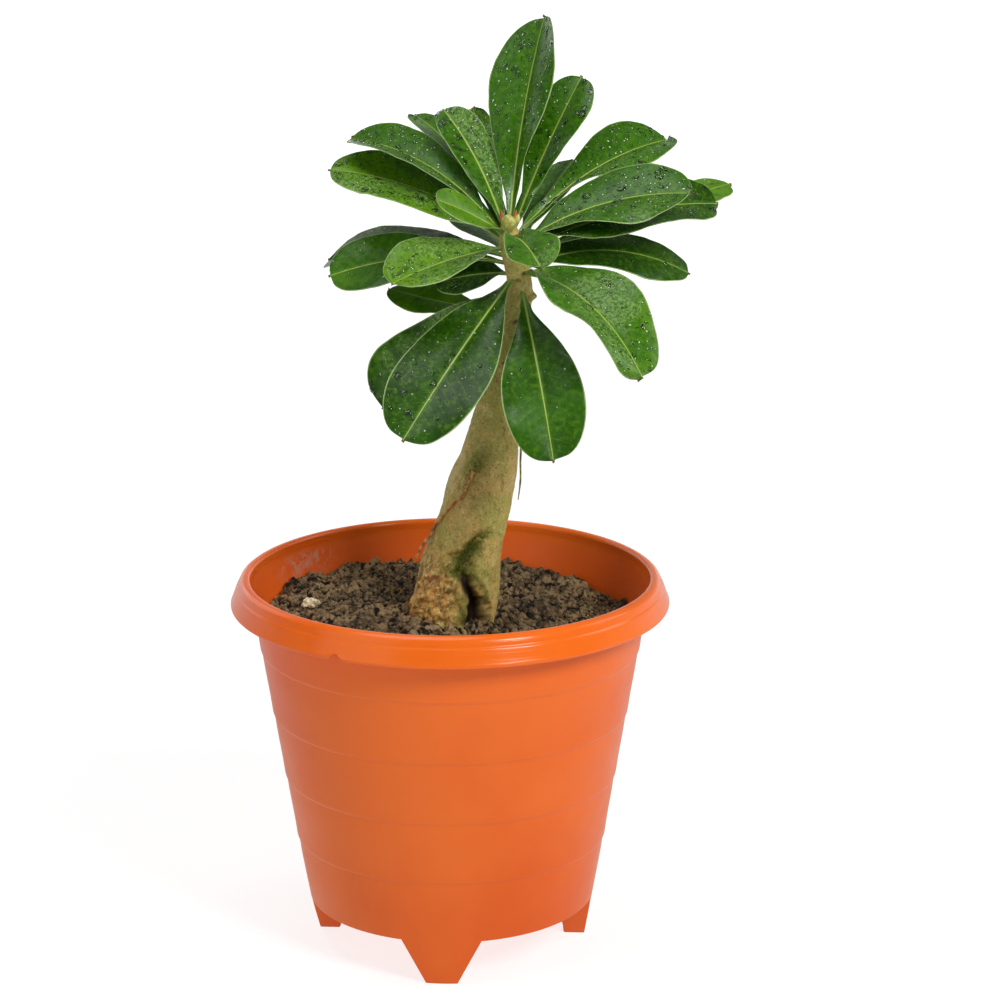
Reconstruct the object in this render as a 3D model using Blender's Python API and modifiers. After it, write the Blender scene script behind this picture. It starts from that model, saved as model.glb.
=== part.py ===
"""Potted desert rose (adenium): a young plant with a swollen stem in a footed plastic pot.

Metres, +Z up. The pot stands on four feet, the soil fills it, the stem stands in a
plain hole in the soil, and each leaf is a piece of its own at its seat on the stem.
"""

import math
from collections import namedtuple

import bmesh
import bpy
import numpy as np
from mathutils import Euler

# ---- driving dimensions ------------------------------------------------------------

GAP = 0.0003  # clearance between neighbouring pieces

# Pot
POT_HEIGHT = 0.1746
RIM_RADIUS = 0.1000  # at the lip's lower edge, the widest place
MOUTH_RADIUS = 0.0906  # inner edge of the rim
LIP_DROP = 0.0121  # from the rim's top to the lip's lower edge
SHOULDER_RADIUS = 0.0902  # outside of the wall, up under the lip
BASE_RADIUS = 0.0658  # outside of the wall at the bottom edge
WALL = 0.0020
FLOOR_THICKNESS = 0.0025
RING_SPACING = 0.030  # between the moulded steps up the wall
RING_COUNT = 4
RING_STEP = 0.0004
TURN_STEPS = 60

# Feet
FOOT_HEIGHT = 0.0215
FOOT_DEPTH = 0.0096
FOOT_TOP_HALF_ANGLE = 16.0
FOOT_TIP_HALF_ANGLE = 6.6
FOOT_ANGLES = (-93.3, 3.7, 86.7, 169.7)  # degrees from +X, front foot first
SKIRT_RECESS = 0.0030  # how far the underside lies above the bottom edge

# Drain holes: one in the middle, and one inside each foot
DRAIN_RADIUS = 0.0050
DRAIN_RING_RADIUS = 0.034

# Soil
SOIL_LEVEL = 0.1560
SOIL_STEPS = 54
SOIL_RINGS = 17
STEM_CLEARANCE = 0.0008  # round the stem, so that bark and soil never touch
CLOD_HEIGHT = 0.0022
CLOD_SIZES = (0.034, 0.021, 0.013)
WAVES_PER_SIZE = 4
CRUMB_CENTRE = (-0.0645, 0.0070)  # the pale crumb lying on the soil
CRUMB_RADIUS = 0.0034

# Stem: height, centre to the right of the pot's axis, radius
STEM_STATIONS = (
    (0.1080, -0.0010, 0.0040),
    (0.1160, -0.0008, 0.0100),
    (0.1300, -0.0002, 0.0175),
    (0.1450, 0.0002, 0.0192),
    (0.1560, 0.0008, 0.0194),
    (0.1700, 0.0032, 0.0190),
    (0.1820, 0.0057, 0.0178),
    (0.1900, 0.0079, 0.0168),
    (0.2050, 0.0116, 0.0158),
    (0.2150, 0.0132, 0.0155),
    (0.2235, 0.0153, 0.0150),
    (0.2300, 0.0176, 0.0130),
    (0.2430, 0.0198, 0.0114),
    (0.2640, 0.0243, 0.0093),
    (0.2860, 0.0287, 0.0070),
    (0.3080, 0.0318, 0.0055),
    (0.3170, 0.0302, 0.0055),
    (0.3270, 0.0280, 0.0056),
    (0.3320, 0.0268, 0.0048),
    (0.3345, 0.0262, 0.0034),
)
STEM_STEPS = 24
LEVEL_SPACING = 0.010
CREVICE_ANGLE = -62.0  # the dark hollow low on the stem, degrees from +X
CREVICE_TOP = 0.180
CREVICE_DEPTH = 0.0075

# Leaves
LEAF_SEAT_GAP = 0.0004
PETIOLE_HALF_WIDTH = 0.0013
TIP_HALF_WIDTH = 0.0005
OUTLINE_POWER = 0.80  # of the sine that shapes a leaf's outline, at its seat
OUTLINE_POWER_FALL = 0.44  # how much lower that power is at the tip, which makes the tip blunt
RIB_THICKNESS = 0.0016
MARGIN_THICKNESS = 0.0008
LEAF_ROWS = 10
LEAF_COLUMNS = 4

# Buds at the tip of the stem: name, centre, half width, half height, lean to the left
# and away in degrees
BUDS = (
    ("bud", (0.0264, -0.0058, 0.3380), 0.0028, 0.0035, -8, -30),
    ("side_bud", (0.0303, -0.0028, 0.3387), 0.0013, 0.0026, 12, -10),
    ("red_scale_left", (0.0236, 0.0018, 0.3388), 0.0009, 0.0035, -12, 6),
    ("red_scale_right", (0.0293, 0.0012, 0.3388), 0.0010, 0.0035, 10, 6),
)
BUD_STEPS = 12

# Dry strand on the bark, loose at its lower end: degrees round the stem, height, clear of the bark
STRAND_RADIUS = 0.0006
STRAND_STATIONS = (
    (-110, 0.2265, 0.0006), (-113, 0.2205, 0.0006), (-118, 0.2150, 0.0006), (-132, 0.2115, 0.0006),
    (-144, 0.2070, 0.0006), (-157, 0.2020, 0.0006), (-166, 0.1979, 0.0006), (-170, 0.1939, 0.0006),
    (-171, 0.1901, 0.0018), (-172, 0.1868, 0.0026), (-172, 0.1835, 0.0030),
)
# Dry thread hanging beside the stem: points
THREAD_RADIUS = 0.0004
THREAD_POINTS = (
    (0.0318, -0.0040, 0.2440), (0.0321, -0.0050, 0.2360), (0.0319, -0.0050, 0.2290),
    (0.0319, -0.0050, 0.2200), (0.0309, -0.0048, 0.2110),
)

# Notch moulded in the lip's lower edge, in degrees from +X
NOTCH_ANGLE = -119.0
NOTCH_RADIUS = 0.0032

Leaf = namedtuple(
    "Leaf",
    "name seat azimuth rise length width sag turn roll fold wave phase belly",
    defaults=(2.0,),
)
# seat: height on the stem; azimuth and rise: where the leaf points, in degrees from +X
# and above level; length and width in millimetres; sag and turn: how far it bends down
# and to its left over its length; roll: twist about its midrib; fold: how far each half
# is raised; wave and phase: height in millimetres of the waves along its edge, and where
# along the edge they begin, in degrees; belly: how near the tip it is widest (2 is two
# thirds of the way, less is nearer the middle)
LEAVES = (
    Leaf("leaf_01", 0.3340, 69, 64, 99, 37, 7, -18, -15, 38, 2.2, 270, 1.8),
    Leaf("leaf_02", 0.3325, 55, 49, 83, 26, 1, -14, 8, 20, 1.6, 140, 2.4),
    Leaf("leaf_03", 0.3270, 62, 28, 62, 26, 10, 0, -10, 12, 0.6, 90),
    Leaf("leaf_04", 0.3310, 40, 20, 98, 32, 36, 3, 22, 36, 2.5, 240, 2.6),
    Leaf("leaf_05", 0.3280, 0, 16, 80, 38, 33, -27, 29, 20, 2.4, 240, 1.7),
    Leaf("leaf_06", 0.3240, 17, 10, 94, 42, 30, 0, 31, 33, 2.4, 50, 1.3),
    Leaf("leaf_07", 0.3215, 32, 11, 115, 28, 6, 0, 14, 14, 0.8, 60),
    Leaf("leaf_08", 0.3165, 18, -6, 81, 29, 49, -19, 28, 5, 1.4, 190, 1.5),
    Leaf("leaf_09", 0.3150, -48, -25, 86, 44, 55, -3, 5, 33, 4.2, 20, 1.1),
    Leaf("leaf_10", 0.3310, -69, -13, 37, 27, 50, 10, 12, 44, 2.6, 210),
    Leaf("leaf_11", 0.3260, -145, -9, 60, 37, 14, 10, -16, 29, 1.0, 50, 1.5),
    Leaf("leaf_12", 0.3185, 167, -7, 84, 31, 27, 20, -41, 20, 0.4, 200, 2.4),
    Leaf("leaf_13", 0.3215, 145, -8, 102, 37, 28, 0, -18, 24, 1.4, 290, 2.5),
    Leaf("leaf_14", 0.3285, 161, 18, 89, 36, 27, 34, -23, 16, 2.0, 0, 1.5),
    Leaf("leaf_15", 0.3315, 148, 24, 90, 34, 47, -1, -10, 34, 1.2, 290, 2.2),
    Leaf("leaf_16", 0.3305, 121, 28, 93, 22, 37, 0, 2, 29, 0.7, 240),
    Leaf("leaf_17", 0.3345, 127, 46, 66, 21, 29, 2, -19, 31, 2.2, 330, 1.6),
    Leaf("leaf_18", 0.3330, 107, 42, 70, 18, 4, 0, 10, 4, 2.0, 220, 2.6),
    Leaf("leaf_19", 0.3330, -140, 27, 42, 18, 12, 0, -44, 20, 0.5, 350, 1.6),
    Leaf("leaf_20", 0.3120, -129, -38, 96, 42, 12, -5, -24, 14, 2.2, 320, 1.6),
    Leaf("leaf_21", 0.3100, 172, -47, 83, 43, 6, 0, -60, 20, 4.0, 300, 2.2),
    Leaf("leaf_22", 0.3060, -77, -46, 87, 37, 24, 4, 14, 23, 1.8, 90, 1.8),
    Leaf("leaf_23", 0.2960, 147, 3, 64, 19, -10, -1, -28, 10, 1.5, 100, 1.8),
    Leaf("leaf_24", 0.3140, 164, -11, 34, 24, 16, 0, -30, 10, 0.6, 140, 1.2),
    Leaf("leaf_25", 0.3200, 111, 10, 60, 26, 12, 0, 0, 12, 1.0, 220),
)


# ---- geometry shared by the pieces --------------------------------------------------


def wall_radius(height):
    """Outside of the plain wall: a straight taper from the bottom edge to the lip."""
    taper = (SHOULDER_RADIUS - BASE_RADIUS) / (POT_HEIGHT - LIP_DROP - FOOT_HEIGHT)
    return BASE_RADIUS + taper * (height - FOOT_HEIGHT)


def smooth_step(value, low, high):
    share = np.clip((value - low) / (high - low), 0.0, 1.0)
    return share * share * (3 - 2 * share)


def stem_centre(height):
    stations = np.array(STEM_STATIONS)
    return np.interp(height, stations[:, 0], stations[:, 1])


def stem_radius(angle, height):
    """The stem's radius towards an angle: its plain radius, with the low crevice pressed
    in, the bulb beside it and shallow ripples down the bark."""
    stations = np.array(STEM_STATIONS)
    plain = np.interp(height, stations[:, 0], stations[:, 2])
    low = 1 - smooth_step(height, 0.160, CREVICE_TOP)
    away = np.degrees(np.arctan2(np.sin(angle - math.radians(CREVICE_ANGLE)),
                                 np.cos(angle - math.radians(CREVICE_ANGLE))))
    crevice = CREVICE_DEPTH * low * np.exp(-((away / 17.0) ** 2))
    bulb = 0.0012 * low * np.exp(-(((away + 55.0) / 30.0) ** 2))
    strength = np.clip(plain / 0.019, 0, 1) ** 2
    ripples = 0.0006 * strength * (np.sin(3 * angle + 60 * height) + np.sin(5 * angle - 140 * height))
    return plain - crevice * (plain > 0.012) + bulb + ripples


def leaf_half_width(leaf, along):
    """Obovate: narrow at the petiole, widest past two thirds, with a short blunt point."""
    power = OUTLINE_POWER - OUTLINE_POWER_FALL * along
    body = np.sin(np.pi * np.clip(along / 0.985, 0, 1) ** leaf.belly) ** power
    petiole = PETIOLE_HALF_WIDTH * (1 - smooth_step(along, 0.1, 0.4))
    return np.maximum(0.5e-3 * leaf.width * body, petiole) + TIP_HALF_WIDTH * along


def leaf_midrib(leaf, along):
    """Points and directions down the midrib, from the seat on the stem outwards."""
    fine = np.linspace(0, 1, 61)
    bend = 0.5 - fine
    rise = np.radians(leaf.rise + leaf.sag * bend)
    azimuth = np.radians(leaf.azimuth - leaf.turn * bend)
    ahead = np.stack([np.cos(rise) * np.cos(azimuth), np.cos(rise) * np.sin(azimuth), np.sin(rise)], 1)
    step = 0.5 * (ahead[1:] + ahead[:-1]) * (leaf.length * 1e-3 / 60)
    line = np.concatenate([np.zeros((1, 3)), np.cumsum(step, 0)])
    out = stem_radius(azimuth[0], leaf.seat) + LEAF_SEAT_GAP + 0.5 * RIB_THICKNESS * abs(np.sin(rise[0]))
    seat = np.array([stem_centre(leaf.seat) + out * np.cos(azimuth[0]), out * np.sin(azimuth[0]), leaf.seat])
    points = seat + np.stack([np.interp(along, fine, line[:, axis]) for axis in range(3)], -1)
    across = np.stack([-np.sin(azimuth), np.cos(azimuth), 0 * azimuth], 1)
    across = np.stack([np.interp(along, fine, across[:, axis]) for axis in range(3)], -1)
    ahead = np.stack([np.interp(along, fine, ahead[:, axis]) for axis in range(3)], -1)
    return points, ahead, across


def leaf_surface(leaf, side, along):
    """Points of the leaf's middle surface: side runs from -1 to 1 across it, along from 0
    to 1 from the seat to the tip."""
    points, ahead, across = leaf_midrib(leaf, along)
    upper = np.cross(ahead, across)
    roll = np.radians(leaf.roll) * smooth_step(along, 0.0, 0.3)
    sideways = np.cos(roll)[..., None] * across + np.sin(roll)[..., None] * upper
    upper = np.cos(roll)[..., None] * upper - np.sin(roll)[..., None] * across
    reach = leaf_half_width(leaf, along) * side
    fold = np.radians(leaf.fold) * (1 - 0.45 * along)
    phase = np.radians(leaf.phase) + np.where(side > 0, 2.1, 0.0)
    height = 1e-3 * leaf.wave * np.where(side > 0, 0.5, 1.0)
    wave = height * side**2 * np.sin(2 * np.pi * 1.6 * along + phase) * smooth_step(along, 0.05, 0.3)
    lift = np.abs(reach) * np.sin(fold) - 0.10 * np.abs(reach) * np.abs(side) + wave
    return points + (reach * np.cos(fold))[..., None] * sideways + lift[..., None] * upper


# ---- Blender helpers ----------------------------------------------------------------


def clear_scene():
    for thing in list(bpy.data.objects):
        bpy.data.objects.remove(thing, do_unlink=True)


def new_collection(name, hidden=False):
    collection = bpy.data.collections.new(name)
    bpy.context.scene.collection.children.link(collection)
    collection.hide_render = hidden
    return collection


def material(name, colour, roughness):
    made = bpy.data.materials.new(name)
    made.use_nodes = True
    shader = made.node_tree.nodes["Principled BSDF"]
    shader.inputs["Base Color"].default_value = (*colour, 1.0)
    shader.inputs["Roughness"].default_value = roughness
    shader.inputs["Metallic"].default_value = 0.0
    return made


def new_object(name, mesh, collection, finish=None):
    made = bpy.data.objects.new(name, mesh)
    collection.objects.link(made)
    if finish:
        mesh.materials.append(finish)
    return made


def turned(name, profile, steps, collection, finish=None):
    """A profile of (radius, height) points turned about Z, run down its outer side."""
    mesh = bpy.data.meshes.new(name)
    rows = [(radius, 0.0, height) for radius, height in profile]
    mesh.from_pydata(rows, [(i, i + 1) for i in range(len(rows) - 1)], [])
    made = new_object(name, mesh, collection)
    screw = made.modifiers.new("turn", "SCREW")
    screw.steps = screw.render_steps = steps
    screw.use_merge_vertices = True
    screw.merge_threshold = 0.00001
    settle(made)
    if finish:
        made.data.materials.append(finish)
    return made


def settle(thing):
    """Applies the modifiers, so that points can then be moved by a formula."""
    graph = bpy.context.evaluated_depsgraph_get()
    mesh = bpy.data.meshes.new_from_object(thing.evaluated_get(graph))
    thing.modifiers.clear()
    thing.data = mesh


def settle_curve(thing):
    """Turns a curve object into a mesh object of the same name, with its ends closed."""
    graph = bpy.context.evaluated_depsgraph_get()
    mesh = bpy.data.meshes.new_from_object(thing.evaluated_get(graph))
    name, collection = thing.name, thing.users_collection[0]
    bpy.data.objects.remove(thing, do_unlink=True)
    build = bmesh.new()
    build.from_mesh(mesh)
    bmesh.ops.remove_doubles(build, verts=build.verts, dist=1e-6)
    bmesh.ops.recalc_face_normals(build, faces=build.faces)
    build.to_mesh(mesh)
    build.free()
    return new_object(name, mesh, collection)


def points_of(mesh):
    points = np.empty(len(mesh.vertices) * 3)
    mesh.vertices.foreach_get("co", points)
    return points.reshape(-1, 3)


def put_points(mesh, points):
    mesh.vertices.foreach_set("co", np.ascontiguousarray(points, np.float32).ravel())
    mesh.update()


def boolean(thing, operation, cutter):
    cut = thing.modifiers.new(operation.lower(), "BOOLEAN")
    cut.operation = operation
    cut.object = cutter
    cut.solver = "EXACT"


def as_cutter(thing):
    thing.hide_render = True
    thing.display_type = "WIRE"
    return thing


def shade_smooth(thing, sharp_degrees=40):
    thing.data.shade_smooth()
    thing.data.set_sharp_from_angle(angle=math.radians(sharp_degrees))


# ---- the pot ------------------------------------------------------------------------


def pot_profile():
    """From the mouth over the rolled lip, down the stepped wall to the feet's tips, then
    up inside the skirt and the pot, back to the mouth."""
    top = POT_HEIGHT
    lip = top - LIP_DROP
    outer = [
        (MOUTH_RADIUS + 0.0008, top - 0.0002),
        (MOUTH_RADIUS + 0.0026, top),
        (MOUTH_RADIUS + 0.0046, top - 0.0008),
        (MOUTH_RADIUS + 0.0060, top - 0.0026),
        (MOUTH_RADIUS + 0.0064, top - 0.0046),
        (MOUTH_RADIUS + 0.0070, top - 0.0052),
        (MOUTH_RADIUS + 0.0084, top - 0.0086),
        (RIM_RADIUS, lip),
        (RIM_RADIUS - 0.0003, lip - 0.0007),
        (RIM_RADIUS - 0.0012, lip - 0.0006),
        (RIM_RADIUS - 0.0026, lip + 0.0032),
        (SHOULDER_RADIUS + 0.0010, lip + 0.0040),
        (SHOULDER_RADIUS, lip + 0.0026),
    ]
    for ring in range(RING_COUNT, 0, -1):
        height = FOOT_HEIGHT + ring * RING_SPACING
        outer.append((wall_radius(height) + RING_STEP / 2, height + 0.0006))
        outer.append((wall_radius(height) - RING_STEP / 2, height - 0.0006))
    outer.append((wall_radius(0.0), 0.0))
    under = FOOT_HEIGHT + SKIRT_RECESS
    floor = under + FLOOR_THICKNESS
    inner = [
        (wall_radius(0.0) - FOOT_DEPTH, 0.0),
        (wall_radius(under) - FOOT_DEPTH - 0.0015, under),
        (0.0, under),
    ]
    inside = [
        (0.0, floor),
        (wall_radius(floor) - WALL - 0.004, floor),
        (wall_radius(floor + 0.004) - WALL, floor + 0.004),
        (wall_radius(POT_HEIGHT - 0.016) - WALL, POT_HEIGHT - 0.016),
        (MOUTH_RADIUS - 0.0006, POT_HEIGHT - 0.006),
        (MOUTH_RADIUS, POT_HEIGHT - 0.0012),
        (MOUTH_RADIUS + 0.0008, POT_HEIGHT - 0.0002),
    ]
    return outer + inner, inside


def foot_gap_cutter(index, cutters):
    """The room between two feet: a block bent round the pot, with slanted ends."""
    start = FOOT_ANGLES[index]
    turn = (FOOT_ANGLES[(index + 1) % len(FOOT_ANGLES)] - start) % 360
    mesh = bpy.data.meshes.new(f"foot_gap_{index + 1}")
    build = bmesh.new()
    bmesh.ops.create_grid(build, x_segments=24, y_segments=1, size=1.0)
    bmesh.ops.recalc_face_normals(build, faces=build.faces)
    build.to_mesh(mesh)
    build.free()
    made = new_object(mesh.name, mesh, cutters)
    wall = made.modifiers.new("depth", "SOLIDIFY")
    wall.thickness = 2.0
    wall.offset = 0.0
    settle(made)
    points = points_of(made.data)
    share, level, depth = (points[:, 0] + 1) / 2, points[:, 1], points[:, 2]
    height = np.where(level > 0, FOOT_HEIGHT, -0.004)
    slope = (FOOT_TOP_HALF_ANGLE - FOOT_TIP_HALF_ANGLE) / FOOT_HEIGHT
    half = FOOT_TIP_HALF_ANGLE + slope * height
    angle = np.radians(start + half + share * (turn - 2 * half))
    radius = np.where(depth > 0, BASE_RADIUS + 0.012, BASE_RADIUS - FOOT_DEPTH - 0.010)
    put_points(made.data, np.stack([radius * np.cos(angle), radius * np.sin(angle), height], 1))
    turn_outwards(made.data)
    return as_cutter(made)


def turn_outwards(mesh):
    build = bmesh.new()
    build.from_mesh(mesh)
    bmesh.ops.recalc_face_normals(build, faces=build.faces)
    build.to_mesh(mesh)
    build.free()


def drain_cutter(index, angle, radius, cutters):
    bpy.ops.mesh.primitive_cylinder_add(vertices=20, radius=DRAIN_RADIUS, depth=0.03)
    made = bpy.context.active_object
    made.name = f"drain_{index}"
    made.location = (radius * math.cos(angle), radius * math.sin(angle), FOOT_HEIGHT)
    for collection in list(made.users_collection):
        collection.objects.unlink(made)
    cutters.objects.link(made)
    return as_cutter(made)


def notch_cutter(cutters):
    """A short rod across the lip's lower edge, half of it under the edge."""
    bpy.ops.mesh.primitive_cylinder_add(vertices=20, radius=NOTCH_RADIUS, depth=0.008)
    made = bpy.context.active_object
    made.name = "lip_notch"
    turn = math.radians(NOTCH_ANGLE)
    made.location = (RIM_RADIUS * math.cos(turn), RIM_RADIUS * math.sin(turn), POT_HEIGHT - LIP_DROP)
    made.rotation_euler = (0.0, math.pi / 2, turn)
    for collection in list(made.users_collection):
        collection.objects.unlink(made)
    cutters.objects.link(made)
    return as_cutter(made)


def make_pot(parts, cutters):
    outer, inside = pot_profile()
    plastic = material("orange_plastic", (0.80, 0.14, 0.022), 0.38)
    pot = turned("pot", outer + inside, TURN_STEPS, parts, plastic)
    for index in range(len(FOOT_ANGLES)):
        boolean(pot, "DIFFERENCE", foot_gap_cutter(index, cutters))
    boolean(pot, "DIFFERENCE", drain_cutter(0, 0.0, 0.0, cutters))
    for index, angle in enumerate(np.radians(FOOT_ANGLES)):
        boolean(pot, "DIFFERENCE", drain_cutter(index + 1, angle, DRAIN_RING_RADIUS, cutters))
    boolean(pot, "DIFFERENCE", notch_cutter(cutters))
    shade_smooth(pot, 30)
    return pot


# ---- the soil -----------------------------------------------------------------------


def soil_height(x, y):
    """The soil's surface: a low mound towards the back, broken into clods and hollows."""
    distance = np.hypot(x, y)
    mound = SOIL_LEVEL + 0.045 * y - 0.035 * x - 0.0035 * (distance / 0.085) ** 2
    rng = np.random.default_rng(11)
    clods = np.zeros_like(x)
    for size in CLOD_SIZES:
        for _ in range(WAVES_PER_SIZE):
            heading, phase = rng.uniform(0, 2 * math.pi, 2)
            run = np.cos(heading) * x + np.sin(heading) * y
            other = -np.sin(heading) * x + np.cos(heading) * y
            clods += np.sin(2 * math.pi * run / size + phase + 1.3 * np.sin(2 * math.pi * other / (1.7 * size)))
    clods *= CLOD_HEIGHT / WAVES_PER_SIZE
    from_crumb = np.hypot(x - CRUMB_CENTRE[0], y - CRUMB_CENTRE[1])
    level = 1 - smooth_step(from_crumb, 1.2 * CRUMB_RADIUS, 2.6 * CRUMB_RADIUS)
    return mound + clods * (1 - level)


def make_soil(parts, cutters):
    floor = FOOT_HEIGHT + SKIRT_RECESS + FLOOR_THICKNESS + GAP
    side = wall_radius(SOIL_LEVEL) - WALL - GAP
    rings = [(side * i / SOIL_RINGS, SOIL_LEVEL) for i in range(SOIL_RINGS + 1)]
    corner = (wall_radius(floor + 0.004) - WALL - GAP, floor + 0.004)
    bottom = [corner, (wall_radius(floor) - WALL - GAP - 0.0042, floor), (0.0, floor)]
    earth = material("potting_soil", (0.055, 0.042, 0.034), 0.95)
    soil = turned("soil", rings + bottom, SOIL_STEPS, parts, earth)
    points = points_of(soil.data)
    top = points[:, 2] > SOIL_LEVEL - 1e-5
    height = soil_height(points[top, 0], points[top, 1])
    on_edge = np.hypot(points[top, 0], points[top, 1]) > side - 1e-5
    radius = np.hypot(points[top, 0], points[top, 1])
    fitted = np.where(on_edge, wall_radius(height) - WALL - GAP - 0.0004, radius) / np.maximum(radius, 1e-9)
    points[top, 0] *= fitted
    points[top, 1] *= fitted
    points[top, 2] = height
    put_points(soil.data, points)
    turn_outwards(soil.data)
    boolean(soil, "DIFFERENCE", as_cutter(stem_solid("stem_hole", STEM_CLEARANCE, cutters)))
    return soil


def make_crumb(parts):
    """A pale mineral crumb on the soil, a little flattened and uneven."""
    mesh = bpy.data.meshes.new("pale_crumb")
    build = bmesh.new()
    bmesh.ops.create_icosphere(build, subdivisions=2, radius=CRUMB_RADIUS)
    build.to_mesh(mesh)
    build.free()
    points = points_of(mesh)
    lumps = 1 + 0.10 * np.sin(900 * points[:, 0] + 1.0) * np.cos(700 * points[:, 1])
    points = points * lumps[:, None] * (1.05, 0.95, 0.80)
    x, y = CRUMB_CENTRE
    rise = float(np.max(soil_height(points[:, 0] + x, points[:, 1] + y)))
    points += (x, y, rise + GAP - points[:, 2].min())
    put_points(mesh, points)
    crumb = new_object("pale_crumb", mesh, parts, material("pale_mineral", (0.78, 0.72, 0.42), 0.8))
    shade_smooth(crumb, 60)
    return crumb


# ---- the stem -----------------------------------------------------------------------


def stem_solid(name, grown, collection, finish=None):
    """A straight turned rod with a ring at each level, then moved onto the leaning stem."""
    stations = np.array(STEM_STATIONS)
    levels = np.unique(np.concatenate([stations[:, 0], np.arange(0.150, 0.300, LEVEL_SPACING)]))
    levels = levels[np.append(np.diff(levels) > 0.0015, True)]
    rod = [(0.0, levels[-1] + 0.0015)] + [(0.01, level) for level in levels[::-1]] + [(0.0, levels[0] - 0.0015)]
    stem = turned(name, rod, STEM_STEPS, collection, finish)
    points = points_of(stem.data)
    angle = np.arctan2(points[:, 1], points[:, 0])
    on_axis = np.hypot(points[:, 0], points[:, 1]) < 0.001
    radius = np.where(on_axis, 0.0, stem_radius(angle, points[:, 2]) + grown)
    height = points[:, 2] + np.where(on_axis, np.sign(points[:, 2] - 0.2) * grown, 0.0)
    moved = np.stack([stem_centre(height) + radius * np.cos(angle), radius * np.sin(angle), height], 1)
    put_points(stem.data, moved)
    turn_outwards(stem.data)
    return stem


def make_stem(parts):
    bark = material("bark", (0.30, 0.25, 0.11), 0.75)
    stem = stem_solid("stem", 0.0, parts, bark)
    shade_smooth(stem, 60)
    return stem


def rod_along(name, points, radius, parts, finish):
    """A thin round rod through the points, closed at both ends."""
    curve = bpy.data.curves.new(name, "CURVE")
    curve.dimensions = "3D"
    curve.bevel_depth = radius
    curve.bevel_resolution = 1
    curve.use_fill_caps = True
    line = curve.splines.new("POLY")
    line.points.add(len(points) - 1)
    for spot, place in zip(line.points, points):
        spot.co = (*place, 1.0)
    curve.materials.append(finish)
    made = bpy.data.objects.new(name, curve)
    parts.objects.link(made)
    return settle_curve(made)


def make_dry_pieces(parts):
    """The dry strand on the bark and the thread hanging beside the stem."""
    straw = material("dry_straw", (0.42, 0.33, 0.14), 0.85)
    angle, height, lift = np.array(STRAND_STATIONS).T
    angle = np.radians(angle)
    out = stem_radius(angle, height) + STRAND_RADIUS + lift
    around = stem_centre(height) + out * np.cos(angle)
    strand = np.stack([around, out * np.sin(angle), height], 1)
    rod_along("dry_strand", strand, STRAND_RADIUS, parts, straw)
    rod_along("dry_thread", THREAD_POINTS, THREAD_RADIUS, parts, straw)


def make_buds(parts):
    """Egg-shaped buds, each turned about its own axis and leaned."""
    finishes = {
        "bud": material("bud_green", (0.52, 0.50, 0.14), 0.45),
        "red": material("bud_red", (0.45, 0.12, 0.04), 0.55),
    }
    for name, centre, half_width, half_height, left, away in BUDS:
        slope = np.linspace(math.pi / 2, -math.pi / 2, 9)
        egg = 1 - 0.18 * np.sin(slope)
        profile = [(0.0 if abs(a) > 1.57 else half_width * math.cos(a) * fat, half_height * math.sin(a))
                   for a, fat in zip(slope, egg)]
        finish = finishes["red" if name.startswith("red") else "bud"]
        made = turned(name, profile, BUD_STEPS, parts, finish)
        turn_outwards(made.data)
        lean = Euler((math.radians(-away), math.radians(left), 0.0)).to_matrix()
        put_points(made.data, points_of(made.data) @ np.array(lean).T + centre)
        shade_smooth(made, 60)


# ---- the leaves ---------------------------------------------------------------------


def make_leaf(leaf, parts, green):
    mesh = bpy.data.meshes.new(leaf.name)
    build = bmesh.new()
    bmesh.ops.create_grid(build, x_segments=LEAF_COLUMNS, y_segments=LEAF_ROWS, size=1.0)
    bmesh.ops.triangulate(build, faces=build.faces, quad_method="FIXED")
    build.to_mesh(mesh)
    build.free()
    points = points_of(mesh)
    side, level = points[:, 0].copy(), (points[:, 1] + 1) / 2
    along = 1 - (1 - level) ** 1.35
    put_points(mesh, leaf_surface(leaf, side, along))
    made = new_object(leaf.name, mesh, parts, green)
    rib = made.vertex_groups.new(name="rib")
    for index, share in enumerate(np.abs(side)):
        rib.add([index], float(1 - share), "REPLACE")
    blade = made.modifiers.new("blade", "SOLIDIFY")
    blade.thickness = RIB_THICKNESS
    blade.offset = 0.0
    blade.vertex_group = "rib"
    blade.thickness_vertex_group = MARGIN_THICKNESS / RIB_THICKNESS
    shade_smooth(made, 50)
    return made


def make_leaves(parts):
    green = material("leaf_green", (0.035, 0.16, 0.022), 0.30)
    return [make_leaf(leaf, parts, green) for leaf in LEAVES]


# ---- the object ---------------------------------------------------------------------


def stand_on_origin(parts, cutters):
    """Moves everything sideways so that the middle of the whole, at its foot, is the origin."""
    bpy.context.view_layer.update()
    graph = bpy.context.evaluated_depsgraph_get()
    spots = []
    for thing in parts.objects:
        shape = thing.evaluated_get(graph).to_mesh()
        spots.append(points_of(shape))
        thing.evaluated_get(graph).to_mesh_clear()
    spots = np.concatenate(spots)
    low, high = spots.min(0), spots.max(0)
    middle = (low + high) / 2
    print("the middle lies at", np.round(middle * 1000, 2), "mm; the foot at", round(low[2] * 1000, 3))
    for thing in list(parts.objects) + list(cutters.objects):
        thing.location.x -= middle[0]
        thing.location.y -= middle[1]
        thing.location.z -= low[2]


def main():
    clear_scene()
    parts = new_collection("potted_desert_rose")
    cutters = new_collection("cutters", hidden=True)
    make_pot(parts, cutters)
    make_soil(parts, cutters)
    make_crumb(parts)
    make_stem(parts)
    make_buds(parts)
    make_dry_pieces(parts)
    make_leaves(parts)
    stand_on_origin(parts, cutters)


if __name__ == "__main__":
    main()
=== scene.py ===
import math

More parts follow.
